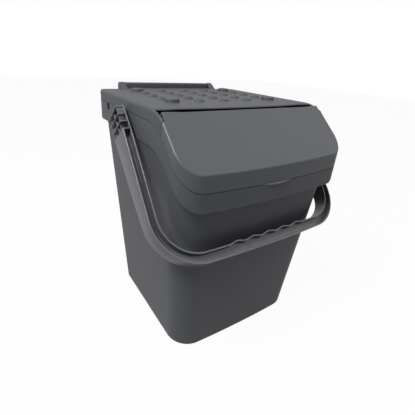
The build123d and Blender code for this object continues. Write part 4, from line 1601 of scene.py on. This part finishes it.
    def tab(self) -> bpy.types.Object:
        """Pull tab: a crescent lip under the skirt's middle.

        The lip's outline in plan is a cosine bell over its width; its section is a rounded wedge
        that stands forward of the skirt and hangs below it.

        Returns:
            The finished piece.
        """
        front = self.form.rim.front
        rim_z = self.form.parting.front_height + self.form.parting_gap
        across = np.linspace(-1, 1, 49)
        bell = np.cos(np.pi * across / 2) ** 0.8
        bell[0] = bell[-1] = 0.02
        corners = np.array([
            [1.2 * MM, self.tab_height],
            [-0.2 * MM, self.tab_height],
            [-self.tab_reach, -0.6 * MM],
            [-self.tab_reach, -0.6 * self.tab_drop],
            [-0.4 * MM, -self.tab_drop],
            [1.2 * MM, -0.2 * MM],
        ])
        section = round_polyline(corners, np.array([0.2, 2.0, 1.6, 0.9, 0.8, 0.2]) * MM, 5, closed=True)
        base = np.array([1.2 * MM, 0.4 * MM])
        scaled = base + (section - base) * bell[:, None, None]
        bow = self.form.rim.bow * (across * self.tab_half_width / self.form.rim.half_width) ** 2
        points = np.empty((len(across), len(section), 3))
        points[..., 0] = (across * self.tab_half_width)[:, None]
        points[..., 1] = front + bow[:, None] + scaled[..., 0]
        points[..., 2] = rim_z + scaled[..., 1]
        return loft("tab", points)

    def build(self, paint: Paint) -> None:
        """Build the flap's pieces and dress them.

        Args:
            paint: The caddy's materials.
        """
        piece = merge("lift_up_flap", [self.skin(), self.barrel(), self.tab()])
        paint.dress(piece, "flap_plastic", Body.FLAP)
        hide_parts("front_flap")
        log.info("flap: %d faces", len(piece.data.polygons))


class Level(Enum):
    """Heights out of the handle's plane that its section hangs on."""

    RIM = 0
    FLOOR_TOP = 1
    FLOOR_BOTTOM = 2
    BACK = 3


@dataclass
class Bail:
    """Bail handle: an H section on flared arms and a bowed bar, with ladder ends and finger waves.

    The handle has its own frame: x to the right, t from the pivot along the arms, and n out of
    the handle's plane.
    """

    form: Form = FORM
    eye_radius: float = 22 * MM
    inner_half: float = 165.2 * MM
    arm_width: float = 14.3 * MM
    flare: float = 11 * MM
    reach: float = 256 * MM
    bar_width: float = 18 * MM
    bar_depth: float = 24 * MM
    outer_bow: float = 8 * MM
    inner_bow: float = 3.5 * MM
    inner_corner: float = 57 * MM
    flange: float = 2.5 * MM
    channel_depth: float = 12 * MM
    arm_back_middle: float = 13.5 * MM
    fin_pitch: float = 13.1 * MM
    fin_count: int = 4
    first_fin: float = -10.5 * MM
    fin_back: float = -25.5 * MM
    fin_shear: float = 0.13
    ladder_floor: float = 3 * MM
    fin_thickness: float = 2.4 * MM
    fin_edge: float = 0.6 * MM
    web_edge: float = 0.4 * MM
    eye_edge: float = 0.7 * MM
    tip_round: float = 0.9 * MM
    channel_fillet: float = 1.2 * MM
    wave_pitch: float = 32.5 * MM
    wave_height: float = 2.8 * MM
    wave_count: int = 5
    wave_middle: float = 3 * MM
    rest_gap: float = 0.4 * MM

    def inner_reach(self) -> float:
        """Distance t of the bar's inner side."""
        return self.reach - self.bar_width

    def rest_angle(self) -> float:
        """Angle of the arms below level, with the bar's back edge just off the tub's front wall.

        Returns:
            The angle, in radians.
        """
        back, inner = self.eye_radius - self.bar_depth, self.inner_reach()
        pivot_y, pivot_z = self.form.handle_pivot
        draft = math.atan(self.form.draft)
        ahead = pivot_y - self.form.base.front
        wall = ahead * math.cos(draft) + pivot_z * math.sin(draft) + self.rest_gap
        return math.atan2(back, inner) + draft + math.acos(wall / math.hypot(inner, back))

    def place(self, points: np.ndarray) -> np.ndarray:
        """Turn points from the handle's frame (x, t, n) into the caddy's frame.

        Args:
            points: Points (..., 3) in the handle's frame.

        Returns:
            Points (..., 3) in the caddy's frame.
        """
        angle = self.rest_angle()
        pivot_y, pivot_z = self.form.handle_pivot
        x, t, n = points[..., 0], points[..., 1], points[..., 2]
        y = pivot_y - t * math.cos(angle) - n * math.sin(angle)
        z = pivot_z - t * math.sin(angle) + n * math.cos(angle)
        return np.stack([x, y, z], axis=-1)

    def rim(self) -> PaintedRimHighlight:
        """Painted highlight on the rib tips, which all end at the section's open side.

        Returns:
            The painted rim highlight of the handle at rest.
        """
        # Painted highlight: the band sits on the plane of the rib tips at rest.
        angle = self.rest_angle()
        pivot_y, pivot_z = self.form.handle_pivot
        level = self.eye_radius - pivot_y * math.sin(angle) + pivot_z * math.cos(angle)
        return PaintedRimHighlight((0.0, -math.sin(angle), math.cos(angle)), level)

    def ladder_end(self) -> float:
        """Distance t of the last fin, where the full channel starts."""
        return self.first_fin + (self.fin_count - 1) * self.fin_pitch

    def half_line(self, half: float, reach: float, bow: float, corner: float) -> np.ndarray:
        """Right half of one line of the bail, from the end of the arm to the middle of the bar.

        Args:
            half: Half width at the ladder's end.
            reach: Distance t of the bar's middle.
            bow: How far the bar's middle stands ahead of its ends.
            corner: Radius of the corner.

        Returns:
            Points (N, 2) in x and t: a straight arm, an arc, and a parabola for the bar.
        """
        start = np.array([half, self.ladder_end()])
        end_x = half + self.flare
        end = np.array([end_x, reach - bow])
        arm = (end - start) / np.linalg.norm(end - start)
        bar_slope = np.array([-1.0, 2 * bow / end_x])
        bar = bar_slope / np.linalg.norm(bar_slope)
        half_angle = math.acos(float(np.clip(-arm @ bar, -1, 1))) / 2
        tangent = corner / math.tan(half_angle)
        inward = (bar - arm) / np.linalg.norm(bar - arm)
        centre = end + inward * corner / math.sin(half_angle)
        first = end - arm * tangent
        last = end + bar * tangent
        straight = start + (first - start) * np.linspace(0, 1, 60)[:, None]
        from_angle = math.atan2(*(first - centre)[::-1])
        turn = math.atan2(*(last - centre)[::-1]) - from_angle
        angles = from_angle + turn * np.linspace(0, 1, 29)
        arc = centre + corner * np.column_stack([np.cos(angles), np.sin(angles)])
        x = np.linspace(last[0], 0, 100)
        level = reach - bow * (x / end_x) ** 2
        level += (last[1] - level[0]) * (x / last[0]) ** 2
        return np.vstack([straight[:-1], arc[:-1], np.column_stack([x, level])])

    def back_line(self, t: np.ndarray) -> np.ndarray:
        """Rear edge of the arm: falls from the eye's radius to the bar's depth.

        Args:
            t: Distances along the arms.

        Returns:
            Values of n, of the shape of t: a polyline averaged over a window.
        """
        inner, bar_back = self.inner_reach(), self.eye_radius - self.bar_depth
        known_t, known_n = np.array([
            [self.ladder_end(), self.fin_back],
            [0.62 * inner, -self.arm_back_middle],
            [inner - self.bar_width / 2, bar_back],
            [inner + 2 * self.bar_width, bar_back],
        ]).T
        window = 24 * MM
        near = [np.interp(t + shift, known_t, known_n) for shift in np.linspace(-window, window, 9)]
        return np.mean(near, axis=0)

    def section(self) -> tuple[np.ndarray, np.ndarray, np.ndarray, np.ndarray]:
        """The H section as offsets that any width and depth can take.

        Returns:
            Which wall each point hangs on (0 outer, 1 inner), its offset across from that wall's
            outer face, its level (the index of a Level), and its offset out of the plane.
        """
        flange, tip, fillet = self.flange, self.tip_round, self.channel_fillet
        rim, floor = Level.RIM.value, Level.FLOOR_TOP.value
        corners = (
            (tip, rim, -tip, tip, 180, 1),
            (flange - tip, rim, -tip, tip, 90, 1),
            (flange + fillet, floor, fillet, fillet, 180, -1),
        )
        quarter = np.radians(np.linspace(0, 90, 5))
        rows = []
        for across, level, step, radius, start, turn in corners:
            angle = math.radians(start) - turn * quarter
            reach, rise = across + radius * np.cos(angle), step + radius * np.sin(angle)
            rows.append(np.column_stack([np.zeros(len(angle)), reach, np.full(len(angle), level), rise]))
        outer = np.vstack(rows)
        top = np.vstack([outer, outer[::-1] + np.array([1, 0, 0, 0])])
        bottom = top[::-1].copy()
        swap = {rim: Level.BACK.value, floor: Level.FLOOR_BOTTOM.value}
        bottom[:, 2] = [swap[int(level)] for level in bottom[:, 2]]
        bottom[:, 3] *= -1
        table = np.vstack([top, bottom])
        return table[:, 0], table[:, 1], table[:, 2].astype(int), table[:, 3]

    def wave(self, x: np.ndarray) -> np.ndarray:
        """Rise of the finger waves: half of one less the cosine, over a whole number of pitches.

        Args:
            x: Places across.

        Returns:
            Rises, of the shape of x.
        """
        phase = (x - self.wave_middle) / self.wave_pitch + self.wave_count / 2
        inside = (phase > 0) & (phase < self.wave_count)
        return np.where(inside, self.wave_height * (1 - np.cos(2 * np.pi * phase)) / 2, 0.0)

    def channel(self) -> bpy.types.Object:
        """The H section carried round the bail.

        Returns:
            The finished piece.
        """
        outer_corner = self.inner_corner + (self.bar_width + self.arm_width) / 2
        outer = self.half_line(self.inner_half + self.arm_width, self.reach, self.outer_bow, outer_corner)
        inner = self.half_line(self.inner_half, self.inner_reach(), self.inner_bow, self.inner_corner)
        mirror = np.array([-1.0, 1.0])
        outer = np.vstack([outer, outer[:-1][::-1] * mirror])
        inner = np.vstack([inner, inner[:-1][::-1] * mirror])
        across = inner - outer
        across /= np.linalg.norm(across, axis=1, keepdims=True)
        wall, offset, level, step = self.section()
        middle_t = (outer[:, 1] + inner[:, 1]) / 2
        floor_top = self.eye_radius - self.channel_depth
        flat_levels = np.array([self.eye_radius, floor_top, floor_top - self.flange])
        levels = np.vstack([np.repeat(flat_levels[:, None], len(outer), axis=1), self.back_line(middle_t)])
        heights = levels[level].T + step
        direction = np.where(wall == 0, 1.0, -1.0)
        root = np.where((wall == 0)[None, :, None], outer[:, None, :], inner[:, None, :])
        flat = root + across[:, None, :] * (direction * offset)[None, :, None]
        front_inner = (wall == 1) & ((level == Level.RIM.value) | (level == Level.FLOOR_TOP.value))
        on_bar = np.abs(inner[:, 1] - self.inner_reach()) < 2 * self.inner_bow
        rise = np.where(on_bar, self.wave(inner[:, 0]), 0.0)
        flat[..., 1] -= rise[:, None] * front_inner[None, :]
        fade = 1 - smoothstep((middle_t - self.ladder_end()) / (3 * self.fin_pitch))
        flat[..., 1] -= self.fin_shear * (self.eye_radius - heights) * fade[:, None]
        return loft("channel", self.place(np.dstack([flat, heights])))

    def eye_plate(self, side: float) -> bpy.types.Object:
        """Inner plate of the ladder end, which turns about the pivot.

        Args:
            side: 1 for the right side, -1 for the left.

        Returns:
            The finished piece.
        """
        end = self.ladder_end() + 2 * MM
        top = self.first_fin - 2.6 * self.fin_thickness
        corners = np.array([
            [end, self.eye_radius],
            [top, self.eye_radius],
            [top - 4 * MM, self.fin_back + 3 * MM],
            [end - 6 * MM, self.fin_back],
        ])
        outline = round_polyline(corners, np.array([0.0, 7 * MM, 15 * MM, 0.0]), 9, closed=True)
        outer = self.inner_half + self.flange
        return self.block(outline, side * self.inner_half, side * outer, self.eye_edge)

    def ladder_webs(self, side: float) -> list[bpy.types.Object]:
        """The floor between the fins, and the ramp in front of it that falls from the rim to the channel.

        Args:
            side: 1 for the right side, -1 for the left.

        Returns:
            The two webs.
        """
        first, last = self.first_fin, self.ladder_end()
        x_in, x_out = self.fin_span()
        top, low = self.ladder_floor, self.ladder_floor - self.flange
        floor = np.array([[first, low], [last, low], [last, top], [first, top]])
        ramp_t = first + self.fin_pitch * np.array([0.0, 1.0, 2.0, 3.0])
        ramp_n = self.eye_radius - np.array([1.0 * MM, 3.0 * MM, 8.5 * MM, self.channel_depth])
        ramp = np.column_stack([ramp_t, ramp_n])
        ramp = np.vstack([ramp, ramp[::-1] - np.array([0.0, self.flange])])
        return [
            self.block(floor, side * x_in, side * (x_out - 1.5 * MM), self.web_edge),
            self.block(ramp, side * x_in, side * (x_out - 1.8 * MM), self.web_edge),
        ]

    def fin_span(self) -> tuple[float, float]:
        """Inner and outer x of the fins."""
        return self.inner_half + 0.6 * self.flange, self.inner_half + self.arm_width

    def block(self, outline: np.ndarray, x_from: float, x_to: float, bevel: float) -> bpy.types.Object:
        """Block with an outline in (t, n), carried along x, with rounded edges."""
        return loft("block", self.place(carried(outline, x_from, x_to)), bevel)

    def fin(self, index: int, side: float) -> bpy.types.Object:
        """One fin of the ladder: a thin plate square to the arm.

        Args:
            index: Which fin, from the free end.
            side: 1 for the right side, -1 for the left.

        Returns:
            The finished piece.
        """
        t = self.first_fin + index * self.fin_pitch
        half = self.fin_thickness / 2
        front, back = self.eye_radius, self.fin_back
        foot = t - self.fin_shear * (front - back)
        outline = np.array([[foot - half, back], [foot + half, back], [t + half, front], [t - half, front]])
        x_in, x_out = self.fin_span()
        return self.block(outline, side * x_in, side * x_out, self.fin_edge)

    def build(self, paint: Paint) -> None:
        """Build the handle's pieces and dress them.

        Args:
            paint: The caddy's materials.
        """
        parts = [self.channel()]
        for side in SIDES:
            parts.append(self.eye_plate(side))
            parts.extend(self.ladder_webs(side))
            parts.extend(self.fin(index, side) for index in range(self.fin_count))
        piece = merge("bail_handle", parts)
        paint.dress(piece, "handle_plastic", Body.BAIL)
        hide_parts("handle")
        log.info("handle: %d faces", len(piece.data.polygons))


@dataclass(frozen=True)
class Softbox:
    """Square soft light: its name, place, width and power in watts."""

    name: str
    place: tuple[float, float, float]
    width: float
    power: float

    def hang(self, aim: tuple[float, float, float]) -> None:
        """Add the light to the scene, shining towards aim.

        Args:
            aim: Point that it shines at.
        """
        data = bpy.data.lights.new(self.name, "AREA")
        data.shape = "SQUARE"
        data.size = self.width
        data.energy = self.power
        lamp = bpy.data.objects.new(self.name, data)
        lamp.location = self.place
        direction = np.array(aim) - np.array(self.place)
        lamp.rotation_euler = Vector(direction).to_track_quat("-Z", "Y").to_euler()
        bpy.context.scene.collection.objects.link(lamp)


@dataclass
class Studio:
    """Camera at the photograph's place, soft lights, and a white floor and world.

    The heading, dip and tilt are in radians. The focal length and the principal point are in
    pixels of a square image whose side is given by image.
    """

    eye: tuple[float, float, float] = (-335.92 * MM, -436.49 * MM, 471.18 * MM)
    heading: float = 0.58402563
    dip: float = 0.42352997
    tilt: float = 0.0629357
    focal_pixels: float = 304.1
    principal: tuple[float, float] = (191.61, 194.60)
    image: float = 415.0
    sensor: float = 36.0
    middle: tuple[float, float, float] = (0.0, 0.0, 0.2)
    key: Softbox = Softbox("key", (-1.4, -0.25, 2.2), 1.0, 64.0)
    fill: Softbox = Softbox("fill", (1.3, -1.1, 2.0), 2.2, 12.0)
    ambient: float = 0.28
    sheen: float = 0.6
    floor_reach: float = 6.0
    floor_level: float = -0.3 * MM
    floor_shade: float = 0.3
    floor_glow: float = 1.06
    camera_share: float = 0.9
    glossy_share: float = 0.5

    def axes(self) -> tuple[np.ndarray, np.ndarray, np.ndarray]:
        """Camera axes from heading, dip and tilt.

        Returns:
            Right, up and forward: forward has the heading from +Y towards +X and points down by
            the dip, and right and up are turned about it by the tilt.
        """
        forward = np.array([
            math.sin(self.heading) * math.cos(self.dip),
            math.cos(self.heading) * math.cos(self.dip),
            -math.sin(self.dip),
        ])
        level = np.array([math.cos(self.heading), -math.sin(self.heading), 0.0])
        upright = np.cross(level, forward)
        right = math.cos(self.tilt) * level + math.sin(self.tilt) * upright
        up = -math.sin(self.tilt) * level + math.cos(self.tilt) * upright
        return right, up, forward

    def camera(self) -> None:
        """Create the camera and make it the scene's."""
        data = bpy.data.cameras.new("photo camera")
        data.sensor_fit = "HORIZONTAL"
        data.sensor_width = self.sensor
        data.lens = self.focal_pixels / self.image * self.sensor
        data.shift_x = (self.image / 2 - self.principal[0]) / self.image
        data.shift_y = (self.principal[1] - self.image / 2) / self.image
        data.clip_start = 0.01
        camera = bpy.data.objects.new("photo camera", data)
        right, up, forward = self.axes()
        matrix = np.eye(4)
        matrix[:3, 0], matrix[:3, 1], matrix[:3, 2], matrix[:3, 3] = right, up, -forward, self.eye
        camera.matrix_world = Matrix(matrix.tolist())
        bpy.context.scene.collection.objects.link(camera)
        bpy.context.scene.camera = camera

    def floor(self) -> None:
        """Pale floor that camera rays see near white, with the object's shadow on it."""
        reach = self.floor_reach
        corners = [(x * reach, y * reach, self.floor_level) for x, y in ((-1, -1), (1, -1), (1, 1), (-1, 1))]
        mesh = bpy.data.meshes.new("floor")
        mesh.from_pydata(corners, [], [(0, 1, 2, 3)])
        piece = bpy.data.objects.new("floor", mesh)
        bpy.context.scene.collection.objects.link(piece)
        material = bpy.data.materials.new("pale floor")
        material.use_nodes = True
        tree = material.node_tree
        shader = tree.nodes["Principled BSDF"]
        shader.inputs["Base Color"].default_value = (*[self.floor_shade] * 3, 1.0)
        shader.inputs["Roughness"].default_value = 0.9
        shader.inputs["Specular IOR Level"].default_value = 0.1
        glow = add_node(tree, "Emission", {"Strength": self.floor_glow})
        path = add_node(tree, "LightPath")
        seen = add_node(tree, "Math", {1: self.camera_share}, operation="MULTIPLY")
        share = add_node(tree, "Math", {1: self.glossy_share}, operation="MULTIPLY_ADD")
        mix = add_node(tree, "MixShader")
        join(
            tree,
            (path, "Is Camera Ray", seen, 0),
            (path, "Is Glossy Ray", share, 0),
            (seen, "Value", share, 2),
            (share, "Value", mix, "Fac"),
            (shader, "BSDF", mix, 1),
            (glow, "Emission", mix, 2),
            (mix, "Shader", tree.nodes["Material Output"], "Surface"),
        )
        mesh.materials.append(material)

    def world(self) -> None:
        """White to the camera, pale in reflections, and a soft even light on the object."""
        world = bpy.data.worlds.new("studio")
        bpy.context.scene.world = world
        world.use_nodes = True
        tree = world.node_tree
        background = tree.nodes["Background"]
        background.inputs["Color"].default_value = (1.0, 1.0, 1.0, 1.0)
        path = add_node(tree, "LightPath")
        level = add_node(tree, "MapRange", {"To Min": self.ambient, "To Max": self.sheen})
        white = add_node(tree, "Math", operation="MAXIMUM")
        join(
            tree,
            (path, "Is Glossy Ray", level, "Value"),
            (path, "Is Camera Ray", white, 0),
            (level, "Result", white, 1),
            (white, "Value", background, "Strength"),
        )

    def build(self) -> None:
        """Build the camera, the lights, the floor and the world."""
        self.camera()
        self.floor()
        self.world()
        self.key.hang(self.middle)
        self.fill.hang(self.middle)
        bpy.context.scene.view_settings.view_transform = "Standard"


def main() -> None:
    """Build every sub-assembly, the studio and the camera."""
    logging.basicConfig(level=logging.INFO, format="%(name)s: %(message)s")
    Studio().build()
    paint = Paint()
    Tub().build(paint)
    Lid().build(paint)
    Flap().build(paint)
    Bail().build(paint)
    for node in ("lid_hinge_rod", "flap_pin_left", "flap_pin_right", "handle_pin_left", "handle_pin_right"):
        paint.dress_node(node, "pin_plastic")


if __name__ == "__main__":
    main()
